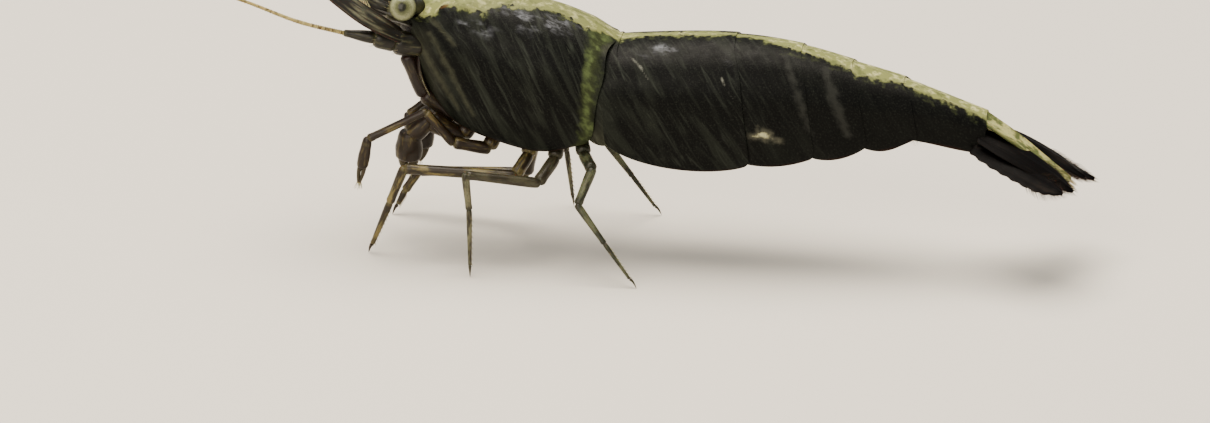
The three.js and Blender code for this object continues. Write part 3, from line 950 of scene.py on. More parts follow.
def finger(name, base, tip, radius, opening):
    """One finger of a pincer: a slim spoon that bows outward by the opening."""
    base, tip = Vector(base), Vector(tip)

    def path(t):
        return base.lerp(tip, t) + opening * math.sin(math.pi * t)

    def size(t):
        width = radius * (1 - 0.45 * t) * (dome(t, 0.1) * dome(1 - t, 0.1))
        return width, width * 0.8

    return tube(name, path, size, 10, 14, marks={"joint": 0.75, "reach": 1.0})


def picking_leg(number, side, sign):
    joints = [Vector(point) for point in PICKING[number][SIDES.index((side, sign))]]
    name = f"leg_{number}_{side}_limb"
    wrist, end = joints[-2], joints[-1]
    radius = PALM_RADII[number]
    ahead = (end - wrist).normalized()
    spread = (end - wrist).cross(ACROSS).normalized() * radius
    knuckle = wrist.lerp(end, PALM_SHARE)
    socket = wrist - ahead * (PALM_SUNK * radius)
    arm = limb(name, joints[:-1], PICKING_RADII[number])
    pieces = [arm, palm(f"{name}_palm", socket, knuckle + ahead * 0.05, radius)]
    roots = []
    for way in (-1, 1):
        base = knuckle - ahead * (FINGER_SUNK * radius) + spread * (FINGER_ROOT * way)
        tip = end + spread * (FINGER_TIP * way)
        bow = spread * (FINGER_BOW * way)
        pieces.append(finger(f"{name}_finger_{way}", base, tip, radius * FINGER_RADIUS, bow))
        for _ in range(BRUSH_SETAE):
            stray = Vector((dice.uniform(-1, 1), dice.uniform(-1, 1), dice.uniform(-0.3, 0.3)))
            place = tip + stray * 0.05 - ahead * 0.08
            reach = ahead * BRUSH_LENGTH + stray * 0.12
            roots.append((place, place + reach, BRUSH_RADIUS, STRAIGHT, (0.5, 0.5)))
    leg = join(name, pieces[::-1])
    smooth(leg)
    return leg, roots


for number in PICKING:
    for side, sign in SIDES:
        legs[number, side], leg_spines[number, side] = picking_leg(number, side, sign)
print("all legs:", len(legs))

# %% [markdown]
# ## The eyes
# A shrimp's eye is a ball of fine facets on a short stalk, deeper than it looks, because the dark
# pigment lies below a clear cornea. A sphere is turned so that its pole looks outward, and each
# point keeps how far it is towards that pole, so that the finish can ring it. The facets could be
# cut into the ball, but they are finer than the mesh and belong in the finish. The stalk is an
# article that widens to a cup.

# %% Eyes and stalks
GAZE = Vector((0.129, -0.918, 0.375))  # the way the left eye looks
CORNEA_FLATNESS = 0.94  # a cornea is a little flatter than a ball
STALK_ROOT = (-9.62, -0.3, 8.85)
STALK_RADII = (0.24, 0.3)
STALK_END = 0.3  # how far from the eye's centre it ends, as a share of the eye's radius


def make_eye(side, sign):
    centre = Vector(mirrored([EYE], sign)[0])
    gaze = Vector(mirrored([GAZE], sign)[0]).normalized()
    bpy.ops.object.select_all(action="DESELECT")
    bpy.ops.mesh.primitive_uv_sphere_add(segments=64, ring_count=48, radius=EYE_RADIUS * MM)
    ball = bpy.context.object
    ball.name = f"eye_{side}_ball"
    turn = gaze.to_track_quat("Z", "Y").to_matrix().to_4x4()
    mark(ball, "gaze", [vertex.co.z / (EYE_RADIUS * MM) for vertex in ball.data.vertices])
    for vertex in ball.data.vertices:
        vertex.co.z *= CORNEA_FLATNESS
    ball.data.transform(Matrix.Translation(at(centre)) @ turn)
    smooth(ball)
    root = Vector(mirrored([STALK_ROOT], sign)[0])
    end = centre + (root - centre).normalized() * EYE_RADIUS * STALK_END
    stalk = article(f"eye_{side}_stalk", root, end, *STALK_RADII, side=Vector((0, 0, 1)), rings=20, sides=20)
    smooth(stalk)
    return ball, stalk


eyes = {side: make_eye(side, sign) for side, sign in SIDES}
print("eyes:", len(eyes))

# %% [markdown]
# ## The rostrum
# Between the eyes the carapace runs out into a thin upright blade with a saw edge: sixteen teeth
# above, the first ones behind the eyes, and five below. Its section is a diamond with a raised rib
# along each side. An outline could be cut and thickened, but it would have no rib. So it is a tube
# whose upper and lower points are pushed out by a saw wave, with enough rings for each tooth.

# %% The rostrum
ROSTRUM_LINE = [(-8.15, 0, 9.4), (-9, 0, 9.5), (-10.3, 0, 9.75), (-11.7, 0, 10.2), (-13.2, 0, 10.75)]
ROSTRUM_HEIGHTS = [(0, 0.03), (0.18, 0.1), (0.42, 0.19), (0.7, 0.16), (0.95, 0.05), (1, 0.015)]
ROSTRUM_HALF_THICKNESS = 0.075
UPPER_TEETH = 16
LOWER_TEETH = 5
UPPER_TOOTH = 0.1
LOWER_TOOTH = 0.07
LOWER_FROM = 0.55  # share of its length where the lower teeth start
TOOTH_PEAK = 0.82  # where a tooth is highest, as a share of its length
TOOTH_CURVE = 1.3
EDGE_FROM = 0.9  # how steeply a point has to lie to be on the saw edge, from 0 to 1


def saw(t, teeth):
    """A wave that rises slowly and falls at once, like the teeth of a saw that lean forward."""
    share = t * teeth % 1
    if share < TOOTH_PEAK:
        return share ** TOOTH_CURVE
    return (1 - share) / (1 - TOOTH_PEAK) * TOOTH_PEAK ** TOOTH_CURVE


def rostrum_tube():
    def path(t):
        return spline(ROSTRUM_LINE, t)

    @lru_cache(maxsize=None)
    def ring(t):
        return (*stance(path, t, ACROSS), profile(ROSTRUM_HEIGHTS, t))

    def place(s, t):
        centre, across, up, reach = ring(t)
        angle = 2 * math.pi * s
        upward = math.sin(angle)
        if upward > EDGE_FROM:
            reach += UPPER_TOOTH * saw(t, UPPER_TEETH) * ease((0.97 - t) / 0.1) * ease(t / 0.05)
        if upward < -EDGE_FROM and t > LOWER_FROM:
            lower = saw((t - LOWER_FROM) / (1 - LOWER_FROM), LOWER_TEETH)
            reach += LOWER_TOOTH * lower * ease((0.97 - t) / 0.08)
        thin = ROSTRUM_HALF_THICKNESS * ease(t / 0.08) * (1 - 0.75 * t) + 0.004
        sideways = math.cos(angle) * thin * (1 - 0.55 * abs(upward))
        return centre + across * sideways + up * (upward * reach)

    made, shares = sheet("rostrum_blade", 16, 240, place)
    mark(made, "joint", [0.0] * len(shares))
    mark(made, "reach", [t for s, t in shares])
    lay(made, "lie", [(t * 5, s) for s, t in shares])
    edit(
        made,
        (bpy.ops.mesh.remove_doubles, {"threshold": WELD_DISTANCE}),
        (bpy.ops.mesh.fill_holes, {"sides": 20}),
    )
    edit(made, (bpy.ops.mesh.normals_make_consistent, {"inside": False}))
    smooth(made)
    return made


rostrum = rostrum_tube()
print("rostrum:", len(rostrum.data.polygons), "faces")

# %% [markdown]
# ## Feelers
# A flagellum is a whip of hundreds of tiny rings. A curve with a round bevel would be smooth, so the
# rings are geometry here, a ripple in the radius of a long thin tube, and the light breaks on it as
# it does on a real one. The first pair of feelers has two whips on a base of three articles, with a
# thorn beside it. The second has one long whip on a thick base. Short setae stand round the end of
# each article of the bases.

# %% Feelers and their bases
RING_SPACING = 0.17
RIPPLE = 0.16
FEELER_TIP = 0.018
WHIPS = {  # the path of each whip, left, then right; and its radius at the root
    "antennule_flagellum_outer": (
        [(-12.5, -0.82, 9.7), (-14.3, -1.35, 11.2), (-16.1, -2.3, 12.9)],
        [(-12.5, 0.82, 9.7), (-14.3, 1.45, 11.1), (-16, 2.6, 12.7)],
        0.085,
    ),
    "antennule_flagellum_inner": (
        [(-12.55, -0.38, 9.33), (-15, -0.6, 10.35), (-18.3, -1.5, 11.2)],
        [(-12.55, 0.38, 9.33), (-15, 0.6, 10.35), (-18.1, 1.7, 11.4)],
        0.06,
    ),
    "antenna_flagellum": (
        [(-12.2, -1.45, 8.14), (-13.8, -1.8, 8.62), (-15.7, -2.3, 9.5), (-19.6, -3.9, 11.2),
         (-23.2, -6.2, 12.3), (-26.6, -9.6, 12.3)],
        [(-12.2, 1.45, 8.14), (-13.7, 1.95, 8.9), (-15.4, 2.9, 10.2), (-18.7, 5.4, 12.4),
         (-21.6, 8.6, 13.9), (-23.8, 12.4, 14.2)],
        0.08,
    ),
}
ANTENNULE = [(-9.85, -0.5, 8.4), (-10.95, -0.55, 8.75), (-11.8, -0.58, 9.15), (-12.6, -0.62, 9.6)]
ANTENNULE_RADII = (0.3, 0.29, 0.23, 0.19)
STYLOCERITE = [(-10.0, -0.85, 8.45), (-11.3, -0.92, 8.92)]  # the thorn beside the base
STYLOCERITE_RADIUS = 0.2
ANTENNA_BASE = [(-9.75, -0.85, 7.6), (-10.65, -1.15, 7.82), (-11.3, -1.32, 8), (-12.3, -1.45, 8.16)]
ANTENNA_RADII = (0.42, 0.42, 0.28, 0.1)
COLLAR_SETAE = 14  # round the end of each article of a base
COLLAR_SETA_LENGTH = 0.2
COLLAR_SETA_RADIUS = 0.007


def whip(name, points, radius):
    """One ringed whip through the points, with this radius at its root."""
    def path(t):
        return spline(points, t)

    long = length_of(path)
    rings = round(long / RING_SPACING * 4)

    def size(t):
        width = (FEELER_TIP + (radius - FEELER_TIP) * (1 - t) ** 0.8) * (dome(t, 0.01) * dome(1 - t, 0.005))
        width *= 1 + RIPPLE * math.sin(2 * math.pi * t * long / RING_SPACING) ** 3
        return width, width

    def banding(s, t):
        return 0.5 + 0.5 * math.sin(2 * math.pi * t * long / RING_SPACING / 3)

    made = tube(name, path, size, 8, rings, marks={"joint": banding, "reach": share_along})
    smooth(made)
    return made


def spike(name, start, end, radius, **marks):
    """A plain pointed spine, with the marks of its own that it needs."""
    start, end = Vector(start), Vector(end)

    def size(t):
        width = radius * (1 - t) * dome(t, 0.08) + 0.003 * (1 - t)
        return width, width * 0.6

    marks = {"joint": 0.3, "reach": share_along, **marks}
    return tube(name, lambda t: start.lerp(end, t), size, 8, 10, marks=marks)


def collar_setae(joints, radii):
    """The roots of the short setae that stand round the far ends of the articles."""
    roots = []
    for start, end, radius in zip(joints, joints[1:-1], radii[1:]):
        start, end = Vector(start), Vector(end)
        ahead = (end - start).normalized()
        across = ahead.orthogonal().normalized()
        for i in range(COLLAR_SETAE):
            turn = 2 * math.pi * (i + dice.uniform(-0.3, 0.3)) / COLLAR_SETAE
            out = across * math.cos(turn) + ahead.cross(across) * math.sin(turn)
            place = end + out * radius * 0.95 - ahead * radius * 0.5
            reach = (ahead + out * 0.45) * COLLAR_SETA_LENGTH * dice.uniform(0.6, 1.1)
            roots.append((place, place + reach, COLLAR_SETA_RADIUS, STRAIGHT, (i / COLLAR_SETAE, 0.5)))
    return roots


whips, antennules, antenna_bases, head_setae = {}, {}, {}, {}
for side, sign in SIDES:
    for key, (left, right, radius) in WHIPS.items():
        whips[key, side] = whip(f"{key}_{side}_whip", left if sign < 0 else right, radius)
    peduncle = limb(f"antennule_{side}_peduncle", mirrored(ANTENNULE, sign), ANTENNULE_RADII)
    thorn = spike(f"antennule_{side}_thorn", *mirrored(STYLOCERITE, sign), STYLOCERITE_RADIUS)
    antennules[side] = join(f"antennule_{side}_peduncle", [thorn, peduncle])
    antenna_bases[side] = limb(f"antenna_base_{side}_articles", mirrored(ANTENNA_BASE, sign), ANTENNA_RADII)
    head_setae[side] = (collar_setae(mirrored(ANTENNULE, sign), ANTENNULE_RADII)
                        + collar_setae(mirrored(ANTENNA_BASE, sign), ANTENNA_RADII))
print("whips:", len(whips))

# %% [markdown]
# ## Mouthparts
# Below the face the jaws and their helpers overlap like petals, and in front of them hangs the third
# pair of maxillipeds, slim hairy legs that hold food. The jaws are modelled as one cone with three
# pairs of curved lobes on it, each fringed with setae, because single pieces could hardly be told
# apart at this size.

# %% Mouthparts
MOUTH_LINE = [(-9.05, 0, 5.45), (-9.5, 0, 6.3), (-9.8, 0, 7.2), (-9.95, 0, 8.15)]
MOUTH_SIZES = [(0.5, 0.36), (0.78, 0.5), (0.86, 0.54), (0.7, 0.46)]
LOBES = [  # start, end and half width of the left lobe of each pair
    ((-9.85, -0.66, 7.5), (-9.35, -0.8, 5.7), 0.36),
    ((-10.1, -0.42, 7.45), (-9.65, -0.48, 5.5), 0.3),
    ((-10.2, -0.19, 7.85), (-9.95, -0.17, 5.8), 0.2),
]
LOBE_THICKNESS = 0.1  # half of it
LOBE_SETAE = 18  # along each edge of a lobe
LOBE_SETA_LENGTH = 0.16
MOUTH_SETA_RADIUS = 0.008
MAXILLIPED = [(-8.6, -0.6, 4.95), (-9.62, -0.84, 5.85), (-10.2, -0.88, 7.3)]
MAXILLIPED_RADII = (0.26, 0.28, 0.24)
MAXILLIPED_SETAE = 26  # along each article


def mouth_size(t):
    width, height, _ = spline([(w, h, 0) for w, h in MOUTH_SIZES], t)
    cap = dome(min(t, 1 - t), 0.12)
    return width * cap, height * cap


def make_mouth():
    limb_marks = {"joint": 0.25, "reach": share_along}
    pieces = [tube("mouth_cone", lambda t: spline(MOUTH_LINE, t), mouth_size, 24, 30,
                   relief=lambda s, t: 1 - 0.1 * bump(abs(s - 0.25), 0, 0.03), marks=limb_marks)]
    roots = []
    for i, (start, end, half_width) in enumerate(LOBES):
        for side, sign in SIDES:
            a, b = (Vector(point) for point in mirrored([start, end], sign))
            bow = Vector((-0.16, sign * 0.1, 0))

            def path(t, a=a, b=b, bow=bow):
                return a.lerp(b, t) + bow * math.sin(math.pi * t)

            def size(t, half_width=half_width):
                cap = math.sqrt(max(0.0, 1 - (2 * t - 1) ** 2)) ** 0.7
                return half_width * cap, LOBE_THICKNESS * cap

            across = Vector((-0.5 * -sign, 1, 0)).normalized()
            pieces.append(tube(f"mouth_lobe_{i}_{side}", path, size, 14, 18, side=across, marks=limb_marks))
            for way in (-1, 1):
                for n in range(LOBE_SETAE):
                    t = 0.2 + 0.75 * n / LOBE_SETAE
                    place = path(t) + across * (way * size(t)[0] * 0.9)
                    reach = ((b - a).normalized() + across * (way * 0.35) + bow) * LOBE_SETA_LENGTH
                    tip = place + reach * dice.uniform(0.7, 1.1)
                    roots.append((place, tip, MOUTH_SETA_RADIUS, bow, (t, 0.5)))
    made = join("mouth_cone", pieces[::-1])
    smooth(made)
    return made, roots


def maxilliped_roots(joints):
    """The roots of the setae that stand along the front of a maxilliped."""
    roots = []
    for start, end in zip(joints, joints[1:]):
        start, end = Vector(start), Vector(end)
        for i in range(MAXILLIPED_SETAE):
            t = 0.15 + 0.8 * i / MAXILLIPED_SETAE
            out = Vector((-0.6, dice.uniform(-0.5, 0.5), -0.45)).normalized()
            place = start.lerp(end, t) + out * 0.11
            tip = place + out * 0.2 + (end - start).normalized() * 0.16
            roots.append((place, tip, MOUTH_SETA_RADIUS, STRAIGHT, (t, 0.5)))
    return roots


mouth, mouth_setae = make_mouth()
maxillipeds, maxilliped_setae = {}, {}
for side, sign in SIDES:
    joints = mirrored(MAXILLIPED, sign)
    maxillipeds[side] = limb(f"maxilliped_{side}_limb", joints, MAXILLIPED_RADII)
    maxilliped_setae[side] = maxilliped_roots(joints)
print("mouthparts: 1 cone,", len(maxillipeds), "maxillipeds")

# %% [markdown]
# ## Blades: antennal scales, tail fan and swimming legs
# These are flat leaves of shell with a rib along the middle, thin at the edge and fringed with
# setae. A plane with a thickness would have a square edge, so a blade is a tube squashed to a lens,
# with a bump for its rib. The fringe starts from the same edge, so it always fits the blade.

# %% Blades
BLADE_THICKNESS = 0.055  # half of it
RIB = 1.5  # how much thicker a blade is at its rib
WAVES = 9  # along a blade with a wavy edge
BLADE_ROOT_GLOW = 0.2  # mm from its root within which it is pale
FRINGE_END = 0.995  # share of the length where a fringe ends


class Blade:
    """The form of a blade: its path, half width and edge, given by joints (x, y, z, half width)."""

    def __init__(self, joints, side, tip=0.16, rib=RIB, thickness=BLADE_THICKNESS, wave=0.0):
        self.joints = [Vector(joint[:3]) for joint in joints]
        self.widths = [joint[3] for joint in joints]
        self.side = Vector(side)
        self.tip = tip
        self.rib = rib
        self.thickness = thickness
        self.wave = wave
        self.length = length_of(self.path)

    def path(self, t):
        return spline(self.joints, t)

    def half_width(self, t):
        width = spline([(w, 0, 0) for w in self.widths], t).x + self.wave * math.sin(2 * math.pi * WAVES * t)
        return width * dome(1 - t, self.tip, 2.2) * dome(t, 0.05)

    def size(self, t):
        width = self.half_width(t)
        return width, min(self.thickness, width * 0.8)

    def edge(self, t, way):
        """A point on the edge, and the directions outward and along."""
        centre, across, up = stance(self.path, t, self.side)
        ahead = up.cross(across)
        return centre + across * (way * self.half_width(t)), across * way, ahead

    def relief(self, s, t):
        middle = max(bump(s, 0.25, 0.03), bump(s, 0.75, 0.03))
        grooves = 0.25 * (bump(s, 0.19, 0.015) + bump(s, 0.31, 0.015))
        return 1 + self.rib * middle * (1 - 0.6 * t) - grooves

    def model(self, name, rings=40):
        marks = {
            "joint": lambda s, t: bump(t * self.length, 0, BLADE_ROOT_GLOW),
            "reach": share_along,
            "edge": lambda s, t: abs(math.cos(2 * math.pi * s)),
        }
        made = tube(name, self.path, self.size, 28, rings, self.side, self.relief, marks)
        smooth(made)
        return made

    def fringe(self, start, ways, spacing, length, radius, lean=0.7):
        """The roots of a fringe along the edge: ways are the sides (-1, 1) that carry it."""
        roots = []
        count = max(4, round(self.length * (1 - start) / spacing))
        for way in ways:
            for i in range(count):
                t = start + (FRINGE_END - start) * (i + dice.uniform(0.2, 0.8)) / count
                place, outward, ahead = self.edge(t, way)
                near_tip = ease((t - 0.85) / 0.15)
                direction = (outward * (1 - lean * near_tip) + ahead * (lean + near_tip)).normalized()
                swept = min(1, (t - start) / (1 - start) + 0.15)
                reach = length * (0.55 + 0.45 * math.sin(math.pi * swept))
                tip = place + direction * reach * dice.uniform(0.85, 1.1)
                roots.append((place - outward * 0.02, tip, radius, ahead, (t, 0.5 + 0.45 * way)))
        return roots


# %% [markdown]
# ## The antennal scales
# A broad scale stands beside each feeler and steers the shrimp when it darts back. It is a blade
# like the others, but its outer edge ends in a small spine, and only its inner edge is fringed. So
# it comes from the same form, and the spine is joined to it.

# %% Antennal scales
SCALE = [  # x, y, z and half width
    (-10.2, -1.16, 7.98, 0.38), (-11.5, -1.53, 8.86, 0.54), (-12.45, -1.66, 9.58, 0.48),
    (-13.35, -1.75, 10.3, 0.28),
]
BLADE_DROOP = 0.35  # how much lower its outer edge lies than its inner one
# Where the pigment lies, and the painted glints The black pigment leaves a pale stripe along the back, and a
# green band behind the carapace. Both are drawn as distances in millimetres from their edge, negative inside,
# so that a finish can fray the edge with noise. The pale scars, spots and streaks of the left side are short
# lines, drawn the same way, and so are the glints on both sides, painted highlights where the wet shell would
# catch the lamp. Painting them on an image by hand would fix their sharpness.
SCALE_SPINE_AT = 0.72
SCALE_SPINE_LENGTH = 0.55
blades, fringes = {}, {}
for side, sign in SIDES:
    form = Blade(mirrored(SCALE, sign), (0, 1, -sign * BLADE_DROOP))
    blade = form.model(f"antennal_scale_{side}_blade")
    place, outward, ahead = form.edge(SCALE_SPINE_AT, sign)
    thorn = spike(f"antennal_scale_{side}_thorn", place - outward * 0.05,
                  place + ahead * SCALE_SPINE_LENGTH + outward * 0.1, 0.06, edge=1.0)
    blades["antennal_scale", side] = join(f"antennal_scale_{side}_blade", [thorn, blade])
    fringes["antennal_scale", side] = form.fringe(0.3, (-sign,), 0.06, 0.42, 0.011)
print("antennal scales:", len(blades))

# %% [markdown]
# ## The tail fan
# The telson ends the body, with three pairs of small spines on its back and a tuft at its end. Two
# blades on each side, the uropods, spread round it, and the edges of the outer ones are wavy. All
# five could be cut from one sheet, but on the animal they slide over each other like a fan.

# %% The tail fan
TELSON = [(9.65, 0, 5.8, 0.56), (11, 0, 4.9, 0.5), (12, 0, 4.12, 0.4), (12.9, 0, 3.42, 0.22)]
UROPODS = {  # left, then right
    "uropod_inner": (
        [(9.75, -0.45, 5.2, 0.42), (11, -0.74, 4.69, 0.58), (12.2, -0.93, 4.03, 0.5),
         (13.1, -0.98, 3.45, 0.26)],
        [(9.75, 0.45, 5.2, 0.42), (11.1, 0.8, 4.62, 0.5), (12.4, 1.05, 3.83, 0.46),
         (13.35, 1.15, 3.13, 0.26)],
    ),
    "uropod_outer": (
        [(9.6, -0.55, 4.8, 0.42), (10.8, -1.18, 4.38, 0.52), (11.9, -1.62, 3.98, 0.5),
         (12.8, -1.8, 3.68, 0.3)],
        [(9.6, 0.55, 4.8, 0.42), (11, 1.25, 4.07, 0.5), (12.5, 1.65, 3.38, 0.5),
         (13.65, 1.75, 2.88, 0.3)],
    ),
}
TELSON_SPINES = [(0.42, 0.55), (0.62, 0.5), (0.78, 0.5)]  # share of the length, and of the half width
TELSON_SPINE_LENGTH = 0.28
TAIL_DROOP = {"left": 0.35, "right": -0.05}  # the fan is turned, so that its right half lies flatter
WAVE_DEPTH = {"uropod_inner": 0, "uropod_outer": 0.03}

telson_form = Blade(TELSON, (0, 1, 0), tip=0.1, rib=1.2, thickness=0.13)
telson_blade = telson_form.model("telson_plate", 48)
pieces = [telson_blade]
for t, out in TELSON_SPINES:
    for way in (-1, 1):
        centre, across, up = stance(telson_form.path, t, ACROSS)
        place = centre + across * (way * out * telson_form.half_width(t)) - up * 0.1
        ahead = up.cross(across)
        tip = place + ahead * TELSON_SPINE_LENGTH - up * 0.06
        pieces.append(spike("telson_spine", place, tip, 0.04, edge=1.0))
blades["telson", ""] = join("telson_plate", pieces[::-1])
smooth(blades["telson", ""])
fringes["telson", ""] = telson_form.fringe(0.9, (-1, 1), 0.035, 0.5, 0.014, lean=1.3)
for key, both in UROPODS.items():
    for (side, sign), joints in zip(SIDES, both):
        form = Blade(joints, (0, 1, -sign * TAIL_DROOP[side]), tip=0.3, wave=WAVE_DEPTH[key])
        blades[key, side] = form.model(f"{key}_{side}_blade", 88)
        fringes[key, side] = form.fringe(0.6, (-1, 1), 0.045, 0.35, 0.011)
print("blades:", len(blades))

# %% [markdown]
# ## The swimming legs
# Under each of the first five segments hangs a pair of pleopods: a short stem and two fringed
# leaves. They are at rest here, swept to the rear, half hidden by the flaps. One could be modelled
# and copied, but their lengths differ, so a loop builds each from the forms above.

# %% Pleopods
PLEOPOD_LENGTHS = [1.6, 2.1, 1.9, 1.6, 1.25]
PLEOPOD_ANGLE = math.radians(20)
PLEOPOD_SPREAD = 0.42
PLEOPOD_DROP = 0.12  # how far its root lies below the belly
STEM_SHARE = 0.3
STEM_RADII = (0.2, 0.18)
LEAVES = [(-1, 0.2, 1.0), (1, 0.17, 0.88)]  # side, half width and length of the inner and outer leaf
LEAF_WIDTHS = [(0, 0.5), (0.4, 1.1), (0.75, 1), (1, 0.6)]  # along it, as shares of its half width
pleopods, pleopod_fringes = {}, {}
for i, long in enumerate(PLEOPOD_LENGTHS):
    u = (i + 0.5) / SEGMENTS
    ridge, _, hem = lines("abdomen", u)
    belly = hem.z + (ridge.z - hem.z) * BELLY_RISE
    for side, sign in SIDES:
        root = Vector((hem.x, sign * abs(hem.y) * PLEOPOD_SPREAD, belly - PLEOPOD_DROP))
        sweep = Vector((math.cos(PLEOPOD_ANGLE), 0, -math.sin(PLEOPOD_ANGLE)))
        knee = root + sweep * long * STEM_SHARE
        end = root + sweep * long
        parts = [article("stem", root, knee, *STEM_RADII)]
        roots = []
        for way, width, share in LEAVES:
            out = Vector((0, sign * way * 0.11, 0))
            joints = [(*(knee.lerp(end, w * share) + out * (0.7 + w)), width * r) for w, r in LEAF_WIDTHS]
            form = Blade(joints, (0, 1, way * 0.3), tip=0.3, thickness=0.03)
            parts.append(form.model("leaf", 20))
            roots += form.fringe(0.2, (-1, 1), 0.08, 0.3, 0.009)
        mark(parts[0], "edge", [0.5] * len(parts[0].data.vertices))
        made = join(f"pleopod_{i + 1}_{side}_leaves", parts[::-1])
        smooth(made)
        pleopods[i + 1, side] = made
        pleopod_fringes[i + 1, side] = roots
print("pleopods:", len(pleopods))

# %% [markdown]
# ## Fringes
# The setae of each blade and limb are stamped into one mesh for each, now that all their roots are
# known. They stay pieces of their own, because they are far paler and duller than what they grow on.

# %% Stamping the setae
LEG_NUMBERS = (*PICKING, *WALKING)


def tag_of(key, side):
    """The name of a node, such as uropod_inner_left, or telson, which has no side."""
    return "_".join(filter(None, (key, side)))


setae = {}
for (key, side), roots in fringes.items():
    tag = tag_of(key, side)
    setae[tag] = bristles(f"{tag}_setae", roots)
for side, _ in SIDES:
    setae[f"feeler_bases_{side}"] = bristles(f"feeler_bases_{side}_setae", head_setae[side])
    setae[f"maxilliped_{side}"] = bristles(f"maxilliped_{side}_setae", maxilliped_setae[side])
    for number in LEG_NUMBERS:
        kind = "brush" if number in PICKING else "spinules"
        setae[f"leg_{number}_{side}"] = bristles(f"leg_{number}_{side}_{kind}", leg_spines[number, side])
    swimming = [root for i in range(len(PLEOPOD_LENGTHS)) for root in pleopod_fringes[i + 1, side]]
    setae[f"pleopods_{side}"] = bristles(f"pleopods_{side}_setae", swimming)
setae["mouthparts"] = bristles("mouthparts_setae", mouth_setae)
print("setae pieces:", len(setae), "faces:", sum(len(piece.data.polygons) for piece in setae.values()))

# %% [markdown]
# ## Finishes: the tools
# A finish is a shader built from nodes. They could be placed by hand in the Shader Editor, and here
# one small function adds a node, sets its sockets and links it, so that each finish is a short
# recipe. Colours are written as on a colour chart and turned to the linear values that Blender mixes.

# %% Node tools
MIX_FACTOR, MIX_A, MIX_B, MIX_RESULT = 0, 6, 7, 2
CHITIN_IOR = 1.56


def colour(chart):
    """A chart colour such as #b7bd7a as linear red, green, blue and alpha."""
    shares = [int(chart[i:i + 2], 16) / 255 for i in (1, 3, 5)]
    return (*(s / 12.92 if s <= 0.04045 else ((s + 0.055) / 1.055) ** 2.4 for s in shares), 1.0)


def node(tree, kind, sockets=None, **settings):
    """Adds a shader node. A socket given another node's output is linked, and else it is set."""
    made = tree.nodes.new("ShaderNode" + kind)
    for key, value in settings.items():
        setattr(made, key, value)
    for key, value in (sockets or {}).items():
        if isinstance(value, bpy.types.NodeSocket):
            tree.links.new(value, made.inputs[key])
        else:
            made.inputs[key].default_value = value
    return made


def finish(name, **sockets):
    """A new material with one Principled shader, whose plain values are set on its own sockets."""
    material = bpy.data.materials.new(name)
    material.use_nodes = True
    tree = material.node_tree
    surface = tree.nodes["Principled BSDF"]
    for key, value in sockets.items():
        surface.inputs[key.replace("_", " ")].default_value = value
    return material, tree, surface


# %% [markdown]
# ## Finish: black shell
# The shell is clear chitin over black pigment. Pigment cells lie in fine, wavy strands that slant
# down and to the rear, with thin gaps through which the grey-green flesh shows. High on the flanks
# a bluish sheen with a few brighter glints is painted into the colour, a painted highlight where
# the wet surface would catch the lamp. The stripe, the band, the scars
# and a brown fleck are read from the marks on the points, and noise frays their edges, because
# pigment never ends on a straight line. An image could carry all this, but it would blur close to.
# Chitin has an IOR of 1.56, and the moult leaves it smooth, so it is a little glossy.

# %% Black shell
SLANT = 58  # degrees, of the strands to the length of the body
SHELL_FLECKS = {  # length and width in mm, slant in degrees, detail, roughness, waviness
    "mist": (1.3, 1.3, 0, 2, 0.5, 0),
    "clouds": (0.45, 0.4, 0, 3, 0.55, 0),
    # the patches of the painted sheen and of the painted glints follow this noise
    "sheen pools": (1.0, 0.4, 8, 4, 0.62, 0),
    "fray": (0.3, 0.3, 0, 3, 0.56, 0),
    "grain": (0.07, 0.07, 0, 2, 0.6, 0),
    "bands": (3.4, 0.55, SLANT, 2, 0.5, 0.9),
    "wisps": (1.6, 0.2, SLANT + 2, 3, 0.55, 1.1),
    "hairs": (0.9, 0.07, SLANT - 3, 3, 0.6, 1.3),
}
SHELL_BLACKS = ("#020303", "#080807")
SHELL_ROUGHNESS = (0.36, 0.52)
GRAIN_RELIEF = 0.00002  # m
SHELL_MARKS = ("stripe_mm", "pale_mm", "band_mm", "spot_mm", "face_mm", "fleck_mm", "painted_glint_mm", "hem_mm",
               "depth_mm", "green_mm", "thin", "sheen", "clear")
